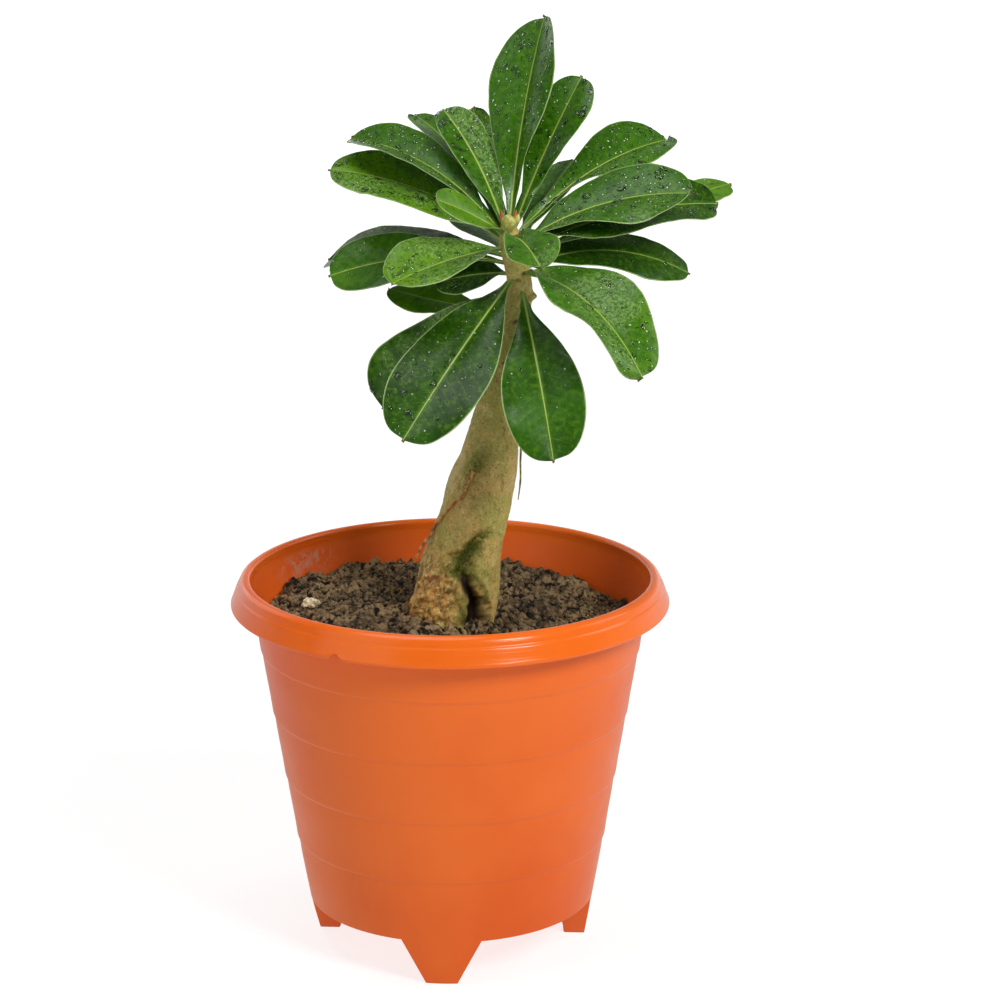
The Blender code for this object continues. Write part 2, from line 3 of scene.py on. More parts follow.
import bpy
import numpy as np
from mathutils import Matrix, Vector


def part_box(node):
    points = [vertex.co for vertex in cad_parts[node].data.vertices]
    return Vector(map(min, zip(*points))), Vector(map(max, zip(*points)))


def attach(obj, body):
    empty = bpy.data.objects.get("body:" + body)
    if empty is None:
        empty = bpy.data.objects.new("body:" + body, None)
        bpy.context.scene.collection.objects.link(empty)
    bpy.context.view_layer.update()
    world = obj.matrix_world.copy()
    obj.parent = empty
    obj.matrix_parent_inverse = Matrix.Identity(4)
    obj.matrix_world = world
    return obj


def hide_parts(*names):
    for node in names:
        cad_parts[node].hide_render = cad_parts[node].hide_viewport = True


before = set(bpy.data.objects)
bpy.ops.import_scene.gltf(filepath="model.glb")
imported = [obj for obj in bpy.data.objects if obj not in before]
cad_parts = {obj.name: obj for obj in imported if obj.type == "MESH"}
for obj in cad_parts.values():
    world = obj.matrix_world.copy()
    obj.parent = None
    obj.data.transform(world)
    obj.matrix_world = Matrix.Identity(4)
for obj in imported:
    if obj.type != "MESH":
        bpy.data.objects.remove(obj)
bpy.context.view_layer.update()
potLow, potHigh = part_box("pot")
# all shapes below are worked out round the pot's axis
potAxis = np.array([(potLow.x + potHigh.x) / 2, (potLow.y + potHigh.y) / 2, 0.0])
print("frame loaded, pot axis at", np.round(potAxis, 4))


# small helpers for arrays, meshes and nodes

def smoothStep(value, low, high):
    share = np.clip((value - low) / (high - low), 0.0, 1.0)
    return share * share * (3 - 2 * share)


def bell(value, width):
    return np.exp(-(value / width) ** 2)


def turnBetween(angle, middle):
    # smallest turn from middle to angle, in degrees
    return (np.degrees(angle) - middle + 180) % 360 - 180


def softNoise(points, size, seed):
    # random numbers from -1 to 1 on a cubic lattice of that size, joined by smooth steps
    cells = 32  # the lattice repeats after so many
    table = np.random.default_rng(seed).uniform(-1, 1, (cells, cells, cells))
    spot = points / size
    cell = np.floor(spot).astype(int)
    part = spot - cell
    part = part * part * (3 - 2 * part)
    total = np.zeros(points.shape[:-1])
    for corner in np.ndindex(2, 2, 2):
        weight = np.prod(np.where(corner, part, 1 - part), axis=-1)
        total += weight * table[tuple(np.moveaxis((cell + corner) % cells, -1, 0))]
    return total


def layeredNoise(points, size, seed, layers=3):
    # each layer half as large and half as strong as the one before
    total = np.zeros(points.shape[:-1])
    for layer in range(layers):
        total += softNoise(points, size / 2 ** layer, seed + layer) / 2 ** layer
    return total


def meshPiece(name, points, faces, finish, layers=None, uv=None, smooth=True):
    mesh = bpy.data.meshes.new(name)
    mesh.from_pydata((points + potAxis).tolist(), [], faces)
    for key, values in (layers or {}).items():
        layer = mesh.attributes.new(key, "FLOAT", "POINT")
        layer.data.foreach_set("value", np.ascontiguousarray(values, np.float32))
    if uv is not None:
        corner = np.empty(len(mesh.loops), np.int32)
        mesh.loops.foreach_get("vertex_index", corner)
        mesh.uv_layers.new(name="surface").data.foreach_set("uv", uv[corner].astype(np.float32).ravel())
    mesh.materials.append(finish)
    mesh.validate()
    mesh.update()
    if smooth:
        mesh.shade_smooth()
    made = bpy.data.objects.new(name, mesh)
    bpy.context.scene.collection.objects.link(made)
    return made


def gridFaces(rows, columns, closed, flipped):
    index = np.arange(rows * columns).reshape(rows, columns)
    if closed:
        index = np.concatenate([index, index[:, :1]], 1)
    quads = np.stack([index[:-1, :-1], index[:-1, 1:], index[1:, 1:], index[1:, :-1]], -1).reshape(-1, 4)
    return quads[:, ::-1] if flipped else quads


def capFaces(rows, columns, flipped=False):
    # triangles from the first and last rings to a middle point each, numbered after all the rings
    ring = np.arange(columns)
    after = np.roll(ring, -1)
    last = (rows - 1) * columns
    start = np.stack([after, ring, np.full(columns, rows * columns)], 1)
    end = np.stack([ring + last, after + last, np.full(columns, rows * columns + 1)], 1)
    caps = np.concatenate([start, end])
    return caps[:, ::-1] if flipped else caps


def tubePiece(name, rows, finish, layers=None, uv=None, flipped=False):
    # rows of rings, each ring closed, with a middle point at both ends: P(row, column)
    count, around = rows.shape[:2]
    points = np.concatenate([rows.reshape(-1, 3), [rows[0].mean(0), rows[-1].mean(0)]])
    faces = gridFaces(count, around, True, flipped).tolist() + capFaces(count, around, flipped).tolist()
    spread = {key: np.concatenate([values.ravel(), [values[0].mean(), values[-1].mean()]])
              for key, values in (layers or {}).items()}
    if uv is not None:
        uv = np.concatenate([uv.reshape(-1, 2), [uv[0].mean(0), uv[-1].mean(0)]])
    return meshPiece(name, points, faces, finish, spread, uv)


def ballsPiece(name, balls, finish, layers=None):
    # many closed balls in one mesh: array (ball, row, column, xyz) with a pole point at each end
    count, rows, columns = balls.shape[:3]
    poles = np.stack([balls[:, 0].mean(1), balls[:, -1].mean(1)], 1)
    points = np.concatenate([balls.reshape(count, -1, 3), poles], 1)
    step = np.arange(count)[:, None, None] * points.shape[1]
    faces = (gridFaces(rows, columns, True, False)[None] + step).reshape(-1, 4).tolist()
    faces += (capFaces(rows, columns)[None] + step).reshape(-1, 3).tolist()
    spread = {}
    for key, values in (layers or {}).items():
        values = values.reshape(count, -1)
        spread[key] = np.concatenate([values, np.repeat(values[:, :1], 2, 1)], 1).ravel()
    return meshPiece(name, points.reshape(-1, 3), faces, finish, spread)


def unitBall(rises, columns):
    # one ring of points for each rise: P = (cos(rise) * cos(turn), cos(rise) * sin(turn), sin(rise))
    turn, rise = np.meshgrid(np.linspace(0, 2 * math.pi, columns, endpoint=False), rises)
    return np.stack([np.cos(rise) * np.cos(turn), np.cos(rise) * np.sin(turn), np.sin(rise)], -1)


def newMaterial(name, **settings):
    made = bpy.data.materials.new(name)
    made.use_nodes = True
    tree = made.node_tree
    shader = tree.nodes["Principled BSDF"]
    for key, value in settings.items():
        shader.inputs[key.replace("_", " ")].default_value = value
    return made, tree, shader


def addNode(tree, kind, inputs=None, **settings):
    node = tree.nodes.new(kind)
    for key, value in settings.items():
        setattr(node, key, value)
    for key, value in (inputs or {}).items():
        if isinstance(value, bpy.types.NodeSocket):
            tree.links.new(value, node.inputs[key])
        else:
            node.inputs[key].default_value = value
    return node


def calc(tree, operation, first, second=0.0, third=0.0, clamp=False):
    inputs = {0: first, 1: second, 2: third}
    return addNode(tree, "ShaderNodeMath", inputs, operation=operation, use_clamp=clamp).outputs[0]


def times(tree, first, second, clamp=False):
    return calc(tree, "MULTIPLY", first, second, clamp=clamp)


def ranged(tree, value, low, high, to=(0.0, 1.0)):
    return addNode(tree, "ShaderNodeMapRange", {"Value": value, "From Min": low, "From Max": high,
                                                "To Min": to[0], "To Max": to[1]},
                   interpolation_type="SMOOTHSTEP").outputs[0]


def mixed(tree, factor, first, second):
    def colour(value):
        return (*value, 1.0) if isinstance(value, tuple) and len(value) == 3 else value
    return addNode(tree, "ShaderNodeMix", {0: factor, 6: colour(first), 7: colour(second)},
                   data_type="RGBA", blend_type="MIX").outputs[2]


def coated(tree, colour, *coats):
    # each coat is (its share, its colour), laid one on another
    for share, coat in coats:
        colour = mixed(tree, share, colour, coat)
    return colour


def noiseOf(tree, place, scale, detail=3.0, roughness=0.5, distortion=0.0):
    return addNode(tree, "ShaderNodeTexNoise", {"Vector": place, "Scale": scale, "Detail": detail,
                                                "Roughness": roughness, "Distortion": distortion}).outputs[0]


def patches(tree, place, scale, low, high, to=(0.0, 1.0), roughness=0.5):
    # where a noise lies between two levels
    return ranged(tree, noiseOf(tree, place, scale, 4.0, roughness), low, high, to)


def cellsOf(tree, place, scale):
    # cells round scattered points: distance from the point, and three random numbers for each cell
    cells = addNode(tree, "ShaderNodeTexVoronoi", {"Vector": place, "Scale": scale}).outputs
    return cells["Distance"], addNode(tree, "ShaderNodeSeparateColor", {0: cells["Color"]}).outputs


def placeOf(tree):
    return addNode(tree, "ShaderNodeTexCoord").outputs["Object"]


def layerOf(tree, name):
    return addNode(tree, "ShaderNodeAttribute", attribute_name=name).outputs["Fac"]


def bumped(tree, shader, *heights):
    # each height is (value, strength, distance in metres), laid one on another
    normal = None
    for value, strength, distance in heights:
        inputs = {"Height": value, "Strength": strength, "Distance": distance}
        if normal is not None:
            inputs["Normal"] = normal
        normal = addNode(tree, "ShaderNodeBump", inputs).outputs[0]
    tree.links.new(normal, shader.inputs["Normal"])


# pot

pot = dict(
    height=0.1746, mouth=0.0906, rim=0.1000, lipDrop=0.0121, shoulder=0.0902, base=0.0658, wall=0.0020,
    floor=0.0025, ringSpacing=0.030, rings=4, ringStep=0.0005, footHeight=0.0215, footDepth=0.0096,
    footAngles=(-93.3, 3.7, 86.7, 169.7), footTop=16.0, footTip=6.6, recess=0.0030,
    notchAngle=-119.0, notchRadius=0.0032, columnsPerFoot=80, unevenness=0.00022, edgeRound=0.0006,
    # inner: the inside wall's colour, darker and redder than the outside, a painted shade for inside the pot
    orange=(0.92, 0.165, 0.014), deep=(0.82, 0.112, 0.004), inner=(0.78, 0.095, 0.006),
    scuff=(0.60, 0.40, 0.30), speck=(0.20, 0.05, 0.02), roughness=0.33,
)


def wallRadius(height):
    taper = (pot["shoulder"] - pot["base"]) / (pot["height"] - pot["lipDrop"] - pot["footHeight"])
    return pot["base"] + taper * (height - pot["footHeight"])


def potFinish():
    made, tree, shader = newMaterial("orange plastic", IOR=1.40)
    place = placeOf(tree)
    inside, lip, dust = (layerOf(tree, name) for name in ("inside", "lip", "dust"))
    # dried splashes of soil: a few brown specks outside, and a pale scuffed patch inside
    scuffs = ranged(tree, noiseOf(tree, place, 210.0, 5.0, 0.7, 0.4), 0.46, 0.60)
    distance, chances = cellsOf(tree, place, 55.0)
    dots = times(tree, ranged(tree, chances[0], 0.955, 0.96), ranged(tree, distance, 0.05, 0.022))
    colour = coated(tree, pot["orange"],
                    (patches(tree, place, 9.0, 0.35, 0.7), pot["deep"]),
                    # painted shade: the inside wall coated darker and redder, as the shade inside the pot
                    (times(tree, inside, 0.45), pot["inner"]),
                    (times(tree, scuffs, times(tree, dust, 0.62)), pot["scuff"]),
                    (times(tree, dots, 0.7), pot["speck"]))
    tree.links.new(colour, shader.inputs["Base Color"])
    rubbed = ranged(tree, noiseOf(tree, place, 28.0, 5.0, 0.65), 0.25, 0.8,
                    (pot["roughness"] - 0.05, pot["roughness"] + 0.10))
    rubbed = calc(tree, "SUBTRACT", rubbed, times(tree, lip, 0.14))
    rubbed = calc(tree, "ADD", rubbed, times(tree, dust, 0.15), clamp=True)
    tree.links.new(rubbed, shader.inputs["Roughness"])
    grain = noiseOf(tree, place, 900.0, 2.0)
    dents = noiseOf(tree, place, 22.0, 2.0)
    # mould marks run level round the lip: noise stretched along it
    level = addNode(tree, "ShaderNodeMapping", {"Vector": place, "Scale": (14.0, 14.0, 420.0)}).outputs[0]
    marks = noiseOf(tree, level, 1.0, 3.0, 0.6)
    bumped(tree, shader, (dents, 0.25, 0.0016), (marks, times(tree, lip, 0.35), 0.0005),
           (grain, 0.08, 0.00015), (dots, 0.5, 0.0003), (scuffs, times(tree, dust, 0.5), 0.0003))
    return made


def potBottom(angle):
    # height of the lower edge: zero under a foot, footHeight between feet, straight slanted sides
    turn = np.min([np.abs(turnBetween(angle, foot)) for foot in pot["footAngles"]], axis=0)
    return pot["footHeight"] * np.clip((turn - pot["footTip"]) / (pot["footTop"] - pot["footTip"]), 0, 1)


def potAngles():
    # columns crowd at the corners of the feet so that these stay crisp
    share = np.linspace(0, 1, pot["columnsPerFoot"], endpoint=False)
    corners = np.array([0, pot["footTip"] - 0.4, pot["footTip"], pot["footTip"] + 0.4,
                        pot["footTop"] - 0.4, pot["footTop"], pot["footTop"] + 0.4])
    where = np.array([0, 0.09, 0.10, 0.11, 0.19, 0.20, 0.21])
    feet = np.array(pot["footAngles"])
    gaps = np.diff(np.append(feet, feet[0] + 360))
    return np.radians(np.concatenate([
        foot + np.interp(share, np.append(where, 1 - where[::-1]), np.append(corners, gap - corners[::-1]))
        for foot, gap in zip(feet, gaps)]))


def roundedLine(stations, spacing, rounding):
    # a polyline resampled at even spacing with its corners softened over the rounding length
    stations = np.array(stations)
    lengths = np.concatenate([[0], np.cumsum(np.hypot(*np.diff(stations, axis=0).T))])
    count = int(lengths[-1] / spacing) + 2
    even = np.linspace(0, lengths[-1], count)
    line = np.stack([np.interp(even, lengths, stations[:, 0]), np.interp(even, lengths, stations[:, 1])], 1)
    reach = max(1, int(rounding / (even[1] - even[0])))
    window = np.hanning(2 * reach + 3)[1:-1]
    padded = np.pad(line, ((reach, reach), (0, 0)), mode="edge")
    soft = np.stack([np.convolve(padded[:, axis], window / window.sum(), "valid") for axis in (0, 1)], 1)
    soft[0], soft[-1] = line[0], line[-1]
    return soft


def makePot():
    angle = potAngles()
    top, mouth, rim, shoulder = pot["height"], pot["mouth"], pot["rim"], pot["shoulder"]
    lip = top - pot["lipDrop"]
    lipLine = roundedLine([
        (mouth + 0.0001, top - 0.0050), (mouth + 0.0003, top - 0.0010), (mouth + 0.0012, top + 0.0001),
        (mouth + 0.0034, top), (mouth + 0.0050, top - 0.0012), (mouth + 0.0058, top - 0.0030),
        (mouth + 0.0061, top - 0.0044), (mouth + 0.0067, top - 0.0047), (mouth + 0.0070, top - 0.0054),
        (mouth + 0.0080, top - 0.0082), (rim - 0.0004, lip + 0.0012), (rim, lip + 0.0006),
        (rim, lip - 0.0004), (rim - 0.0006, lip - 0.0010), (rim - 0.0014, lip - 0.0004),
        (rim - 0.0024, lip + 0.0030), (shoulder + 0.0014, lip + 0.0040), (shoulder + 0.0002, lip + 0.0030),
    ], 0.00045, 0.0007)
    # the wall below the lip: level rows, crowded at the rings, then rows that draw out to the lower edge
    start, waist = lipLine[-1, 1], pot["footHeight"] + 0.0085
    ringLevels = pot["footHeight"] + pot["ringSpacing"] * np.arange(1, pot["rings"] + 1)
    beside = np.linspace(-0.0012, 0.0012, 7)
    levels = np.append(np.linspace(start, waist, 56)[1:], ringLevels[:, None] + beside)
    levels = np.sort(levels)[::-1]
    share = np.concatenate([np.linspace(0, 0.92, 20)[1:], np.linspace(0.92, 1, 4)[1:]])
    bottom = potBottom(angle)
    height = np.concatenate([levels[:, None] + 0 * angle, waist + (bottom - waist) * share[:, None]])
    radius = wallRadius(height)
    for level in ringLevels:
        step = smoothStep(height, level - 0.0007, level + 0.0007) - 0.5
        radius = radius + pot["ringStep"] * step * bell(height - level, 0.006)
    spots = np.stack([np.cos(angle) * 0.09 + 0 * height, np.sin(angle) * 0.09 + 0 * height, height], -1)
    radius = radius + pot["unevenness"] * softNoise(spots, 0.045, 3)  # moulded walls are never quite true
    # round the lower edge, across the underside to the middle, then back over the floor and up the inside
    edge = pot["edgeRound"]
    outer = wallRadius(bottom)
    inner = wallRadius(0.0) - pot["footDepth"]
    under = pot["footHeight"] + pot["recess"]
    floor = under + pot["floor"]
    edgeRows = [(outer - edge * 0.3, bottom), (outer - edge, bottom - 0.00015),
                (inner + (outer - inner) * 0.5, bottom - 0.00015), (inner + edge, bottom - 0.00015),
                (inner, bottom + edge), (inner - 0.0008, (bottom + under) / 2),
                (inner - 0.0015, under - 0.0002), (inner - 0.0022, under)]
    underRows = [((inner - 0.0022) * share, under) for share in np.linspace(1, 0.02, 12)[1:]]
    insideLine = roundedLine([
        (0.001, floor), (wallRadius(floor) - pot["wall"] - 0.004, floor),
        (wallRadius(floor + 0.004) - pot["wall"], floor + 0.004),
        (wallRadius(top - 0.034) - pot["wall"], top - 0.034), (mouth, top - 0.0052)], 0.0040, 0.0045)
    stations = [*lipLine, *zip(radius, height), *edgeRows, *underRows, *insideLine[:-1]]
    rows = np.stack([np.stack([out + 0 * angle, level + 0 * angle], -1) for out, level in stations])
    # the half-round notch lifts the lip's lower edge: z = edge + sqrt(r^2 - d^2)
    across = np.radians(turnBetween(angle, pot["notchAngle"])) * rim
    arch = np.sqrt(np.clip(pot["notchRadius"] ** 2 - across ** 2, 0, None))
    nearLip = (rows[..., 0] > shoulder + 0.0045) & (rows[..., 1] < lip + arch)
    rows[..., 1] = np.where(nearLip, np.maximum(rows[..., 1], lip + arch - 0.0010), rows[..., 1])
    points = np.stack([rows[..., 0] * np.cos(angle), rows[..., 0] * np.sin(angle), rows[..., 1]], -1)
    count, around = points.shape[:2]
    insideMask = np.zeros((count, around))
    insideMask[1 - len(insideLine):] = 1.0
    lipMask = np.zeros((count, around))
    lipMask[:len(lipLine)] = smoothStep(np.arange(len(lipLine)), 0, 4)[:, None]
    dustMask = insideMask * bell(turnBetween(angle, 141.0), 11.0) * bell(rows[..., 1] - 0.1655, 0.0075)
    # the rows run from the mouth outwards and back, so the first and last rows meet: a ring closed both ways
    index = np.arange(count * around).reshape(count, around)
    index = np.concatenate([index, index[:, :1]], 1)
    index = np.concatenate([index, index[:1]], 0)
    quads = np.stack([index[:-1, :-1], index[1:, :-1], index[1:, 1:], index[:-1, 1:]], -1).reshape(-1, 4)
    masks = {"inside": insideMask.ravel(), "lip": lipMask.ravel(), "dust": dustMask.ravel()}
    return meshPiece("pot_shell", points.reshape(-1, 3), quads.tolist(), potFinish(), masks)


# soil

soil = dict(
    level=0.1560, rows=136, columns=690, hub=0.012, crumbs=1400,
    clods=((0.0060, 0.0016, 81), (0.0027, 0.0012, 82), (0.0014, 0.0007, 83)),  # cell size, height, seed
    crumbSizes=(0.0004, 0.0006, 0.0009, 0.0014), crumbShares=(0.36, 0.36, 0.20, 0.08), crumbReach=0.0855,
    dry=(0.310, 0.205, 0.098), moist=(0.100, 0.062, 0.026), dark=(0.008, 0.005, 0.003),
    straw=(0.36, 0.26, 0.15), peat=(0.030, 0.019, 0.010), fleck=(0.30, 0.21, 0.10),
)


def soilFinish():
    made, tree, shader = newMaterial("potting soil", Specular_IOR_Level=0.2)
    place = placeOf(tree)
    broad = noiseOf(tree, place, 60.0, 4.0)
    fine = noiseOf(tree, place, 520.0, 4.0, 0.65)
    chances = cellsOf(tree, place, 260.0)[1]
    colour = coated(tree, soil["moist"],
                    (ranged(tree, broad, 0.36, 0.66), soil["dry"]),
                    (ranged(tree, fine, 0.40, 0.68, (0.0, 0.55)), soil["straw"]),
                    (patches(tree, place, 230.0, 0.54, 0.38, (0.0, 0.80), 0.65), soil["peat"]),
                    (ranged(tree, chances[1], 0.94, 0.99, (0.0, 0.45)), soil["fleck"]),
                    # painted shade: near black where the clods sit low, the shade in the gaps between them
                    (ranged(tree, layerOf(tree, "raised"), 0.70, 0.22), soil["dark"]))
    tree.links.new(colour, shader.inputs["Base Color"])
    tree.links.new(ranged(tree, broad, 0.3, 0.7, (0.62, 0.95)), shader.inputs["Roughness"])
    bumped(tree, shader, (noiseOf(tree, place, 240.0, 5.0, 0.7), 0.8, 0.0012), (fine, 0.7, 0.0005))
    return made


def soilBase(x, y):
    distance = np.hypot(x, y)
    return soil["level"] + 0.045 * y - 0.035 * x - 0.0035 * (distance / 0.085) ** 2


def clodCells(x, y, size, seed):
    # cells round jittered points: how far inside its cell each place lies, and the cell's random level
    cells = 64  # the lattice repeats after so many
    table = np.random.default_rng(seed).uniform(0, 1, (cells, cells, 3))
    column, row = np.floor(x / size).astype(int), np.floor(y / size).astype(int)
    first = np.full(x.shape, 9.0)
    second = np.full(x.shape, 9.0)
    level = np.zeros(x.shape)
    for dx in (-1, 0, 1):
        for dy in (-1, 0, 1):
            spot = table[(column + dx) % cells, (row + dy) % cells]
            away = np.hypot(x / size - column - dx - spot[..., 0], y / size - row - dy - spot[..., 1])
            nearer = away < first
            second = np.where(nearer, first, np.minimum(second, away))
            level = np.where(nearer, spot[..., 2], level)
            first = np.where(nearer, away, first)
    return smoothStep(second - first, 0.0, 0.75), level


def soilRelief(x, y):
    # clods of three sizes, each a cell with steep sides and a top of its own height, small ones on large ones
    flat = np.stack([x, y, 0 * x], -1)
    wx = x + 0.0016 * softNoise(flat, 0.0050, 71) + 0.0006 * softNoise(flat, 0.0018, 72)
    wy = y + 0.0016 * softNoise(flat, 0.0050, 73) + 0.0006 * softNoise(flat, 0.0018, 74)
    total = -0.0016 + 0 * x
    for size, tall, seed in soil["clods"]:
        inside, level = clodCells(wx, wy, size, seed)
        total = total + tall * inside * (0.25 + level)
    return total


def stemLine(height):
    # centre and plain radius of the stem, read off its stations with the corners softened
    table = np.array(stem["stations"])
    fine = np.linspace(table[0, 0], table[-1, 0], 700)
    window = np.hanning(45)
    line = []
    for column in (1, 2):
        values = np.pad(np.interp(fine, table[:, 0], table[:, column]), 22, mode="edge")
        line.append(np.interp(height, fine, np.convolve(values, window / window.sum(), "valid")))
    return line


def fromStem(x, y):
    # clear distance from the stem where it enters the soil
    centre, radius = stemLine(soil["level"])
    return np.hypot(x - centre, y) - radius


def makeGround(finish):
    angle = np.linspace(0, 2 * math.pi, soil["columns"], endpoint=False)
    side = wallRadius(soil["level"]) - pot["wall"] - 0.0003
    share = np.linspace(soil["hub"] / side, 1.0, soil["rows"])[:, None]
    x = side * share * np.cos(angle)
    y = side * share * np.sin(angle)
    relief = soilRelief(x, y)
    flat = np.stack([x, y, 0 * x], -1)
    height = soilBase(x, y) + relief + 0.0011 * layeredNoise(flat, 0.0026, 5)
    height = height + 0.0024 * softNoise(flat, 0.014, 9)
    # heaped a little against the stem, with a dip beside it, and drawn up unevenly along the wall
    height = height + 0.0010 * bell(fromStem(x, y), 0.006)
    height = height - 0.0030 * bell(np.hypot(x - 0.014, y + 0.020), 0.007)
    height = height + 0.0022 * smoothStep(share, 0.93, 1.0) * (0.4 + layeredNoise(flat, 0.010, 31, 2))
    fitted = (wallRadius(height[-1]) - pot["wall"] - 0.0006) / side
    x[-1], y[-1] = x[-1] * fitted, y[-1] * fitted
    floor = pot["footHeight"] + pot["recess"] + pot["floor"] + 0.0003
    rows = [np.stack([x, y, height], -1)]
    for level, inset in ((0.12, 0.0006), (0.06, 0.0006), (floor + 0.004, 0.0006), (floor, 0.005)):
        ring = wallRadius(level) - pot["wall"] - inset
        rows.append(np.stack([ring * np.cos(angle), ring * np.sin(angle), level + 0 * angle], -1)[None])
    rows = np.concatenate(rows)
    # raised: how high each clod stands; where it is low the soil takes its painted shade
    raised = np.zeros(rows.shape[:2])
    raised[:len(relief)] = np.clip((relief + 0.0016) / 0.0015 + 0.22 * softNoise(flat, 0.003, 8), 0, 1)
    return tubePiece("soil_surface", rows, finish, {"raised": raised}, flipped=True)


def makeCrumbs(finish):
    # small uneven balls: P = centre + r * (1 + noise) * direction
    rng = np.random.default_rng(4)
    count = soil["crumbs"]
    away, heading = soil["crumbReach"] * np.sqrt(rng.uniform(0, 1, count)), rng.uniform(0, 2 * math.pi, count)
    size = rng.choice(soil["crumbSizes"], count, p=soil["crumbShares"])
    x, y = away * np.cos(heading), away * np.sin(heading)
    clear = fromStem(x, y) > 0.001
    x, y, size = x[clear], y[clear], size[clear]
    stretch = rng.uniform(0.7, 1.3, (len(x), 1, 1, 3))
    middle = np.stack([x, y, soilBase(x, y) + soilRelief(x, y) + 0.25 * size], -1)[:, None, None, :]
    lumps = unitBall(np.linspace(-1.35, 1.35, 5), 8)[None] * stretch * size[:, None, None, None]
    lumps = lumps * (1 + 0.45 * softNoise(lumps + middle, 0.0009, 14))[..., None] + middle
    return ballsPiece("soil_crumbs", lumps, finish, {"raised": np.full(lumps.shape[:3], 0.8)})


# stem

stem = dict(
    # height, centre towards +X, radius
    stations=((0.1080, -0.0010, 0.0040), (0.1160, -0.0008, 0.0100), (0.1300, -0.0002, 0.0175),
              (0.1450, 0.0002, 0.0192), (0.1560, 0.0008, 0.0194), (0.1700, 0.0032, 0.0190),
              (0.1820, 0.0057, 0.0178), (0.1900, 0.0079, 0.0168), (0.2050, 0.0116, 0.0158),
              (0.2150, 0.0132, 0.0155), (0.2235, 0.0153, 0.0150), (0.2300, 0.0176, 0.0130),
              (0.2430, 0.0198, 0.0114), (0.2640, 0.0243, 0.0093), (0.2860, 0.0287, 0.0070),
              (0.3080, 0.0318, 0.0055), (0.3170, 0.0302, 0.0055), (0.3270, 0.0280, 0.0056),
              (0.3320, 0.0268, 0.0048), (0.3345, 0.0262, 0.0034)),
    rows=340, columns=250,
    # scars left by fallen leaves: direction in degrees, height, half width and half height, depth
    scars=((-88, 0.2935, 0.0016, 0.0010, 0.0006), (-72, 0.2610, 0.0024, 0.0008, 0.0007),
           (-60, 0.2790, 0.0012, 0.0008, 0.0004), (-96, 0.3120, 0.0012, 0.0006, 0.0006),
           (-60, 0.3150, 0.0014, 0.0007, 0.0007), (-105, 0.2750, 0.0010, 0.0007, 0.0003),
           (20, 0.2700, 0.0020, 0.0010, 0.0006), (95, 0.2850, 0.0018, 0.0009, 0.0006),
           (160, 0.2600, 0.0022, 0.0010, 0.0006), (60, 0.2450, 0.0024, 0.0010, 0.0005),
           (-150, 0.2860, 0.0016, 0.0008, 0.0005)),
    tan=(0.580, 0.410, 0.120), olive=(0.400, 0.360, 0.085), pale=(0.820, 0.720, 0.340),
    brown=(0.230, 0.125, 0.034), orange=(0.740, 0.420, 0.110), lichen=(0.300, 0.330, 0.100),
    pit=(0.085, 0.060, 0.016), straw=(0.820, 0.660, 0.220), rust=(0.300, 0.070, 0.030),
    warmPit=(0.060, 0.035, 0.008), moss=(0.030, 0.075, 0.004), mossTop=(0.150, 0.150, 0.012),
    shade=(0.014, 0.006, 0.004), scar=(0.045, 0.022, 0.012),
)


def stemFinish():
    made, tree, shader = newMaterial("bark", Specular_IOR_Level=0.25)
    place = placeOf(tree)
    stretched = addNode(tree, "ShaderNodeMapping", {"Vector": place, "Scale": (1.0, 1.0, 0.6)}).outputs[0]
    broad = noiseOf(tree, place, 60.0, 4.0, 0.6)
    streaks = noiseOf(tree, stretched, 300.0, 5.0, 0.7, 0.3)
    grains = noiseOf(tree, place, 950.0, 4.0, 0.7)
    lumps = noiseOf(tree, place, 230.0, 4.0, 0.65)
    bulb = layerOf(tree, "bulb")
    warm = coated(tree, stem["brown"],
                  (ranged(tree, lumps, 0.40, 0.60), stem["orange"]),
                  (patches(tree, place, 420.0, 0.48, 0.62, (0.0, 0.9), 0.7), stem["straw"]),
                  (patches(tree, place, 150.0, 0.56, 0.70, (0.0, 0.7), 0.6), stem["rust"]),
                  (ranged(tree, grains, 0.44, 0.32, (0.0, 0.7)), stem["warmPit"]))
    mossy = mixed(tree, ranged(tree, grains, 0.42, 0.58), stem["moss"], stem["mossTop"])
    mossPatches = patches(tree, place, 260.0, 0.28, 0.50, roughness=0.6)
    mossShare = times(tree, layerOf(tree, "moss"), mossPatches, True)
    colour = coated(tree, stem["tan"],
                    (ranged(tree, broad, 0.38, 0.60), stem["olive"]),
                    (patches(tree, place, 130.0, 0.54, 0.68, (0.0, 0.6), 0.6), stem["lichen"]),
                    (ranged(tree, streaks, 0.52, 0.72, (0.0, 0.55)), stem["pale"]),
                    (ranged(tree, streaks, 0.46, 0.32, (0.0, 0.6)), stem["brown"]),
                    # fine corky grain: pale crumbs against dark pits
                    (ranged(tree, grains, 0.55, 0.70, (0.0, 0.45)), stem["pale"]),
                    (ranged(tree, grains, 0.47, 0.32, (0.0, 0.75)), stem["pit"]),
                    (times(tree, bulb, ranged(tree, lumps, 0.25, 0.45, (0.55, 1.0))), warm),
                    (mossShare, mossy),
                    # painted shade: near black in the deep crevice and in a spot at its top
                    (layerOf(tree, "hollow"), stem["shade"]),
                    (times(tree, layerOf(tree, "scar"), 0.85, True), stem["scar"]))
    tree.links.new(colour, shader.inputs["Base Color"])
    tree.links.new(ranged(tree, broad, 0.3, 0.7, (0.50, 0.78)), shader.inputs["Roughness"])
    bumped(tree, shader, (streaks, 0.40, 0.0008), (lumps, times(tree, bulb, 0.9), 0.0016),
           (grains, 0.65, 0.0005))
    return made


def creviceTurn(height):
    # the hollow leans over to the left as it rises, then its top turns back
    return np.interp(height, [0.150, 0.158, 0.162, 0.168, 0.174, 0.180, 0.188, 0.197],
                     [-46, -50, -53, -62, -77, -93, -90, -76])


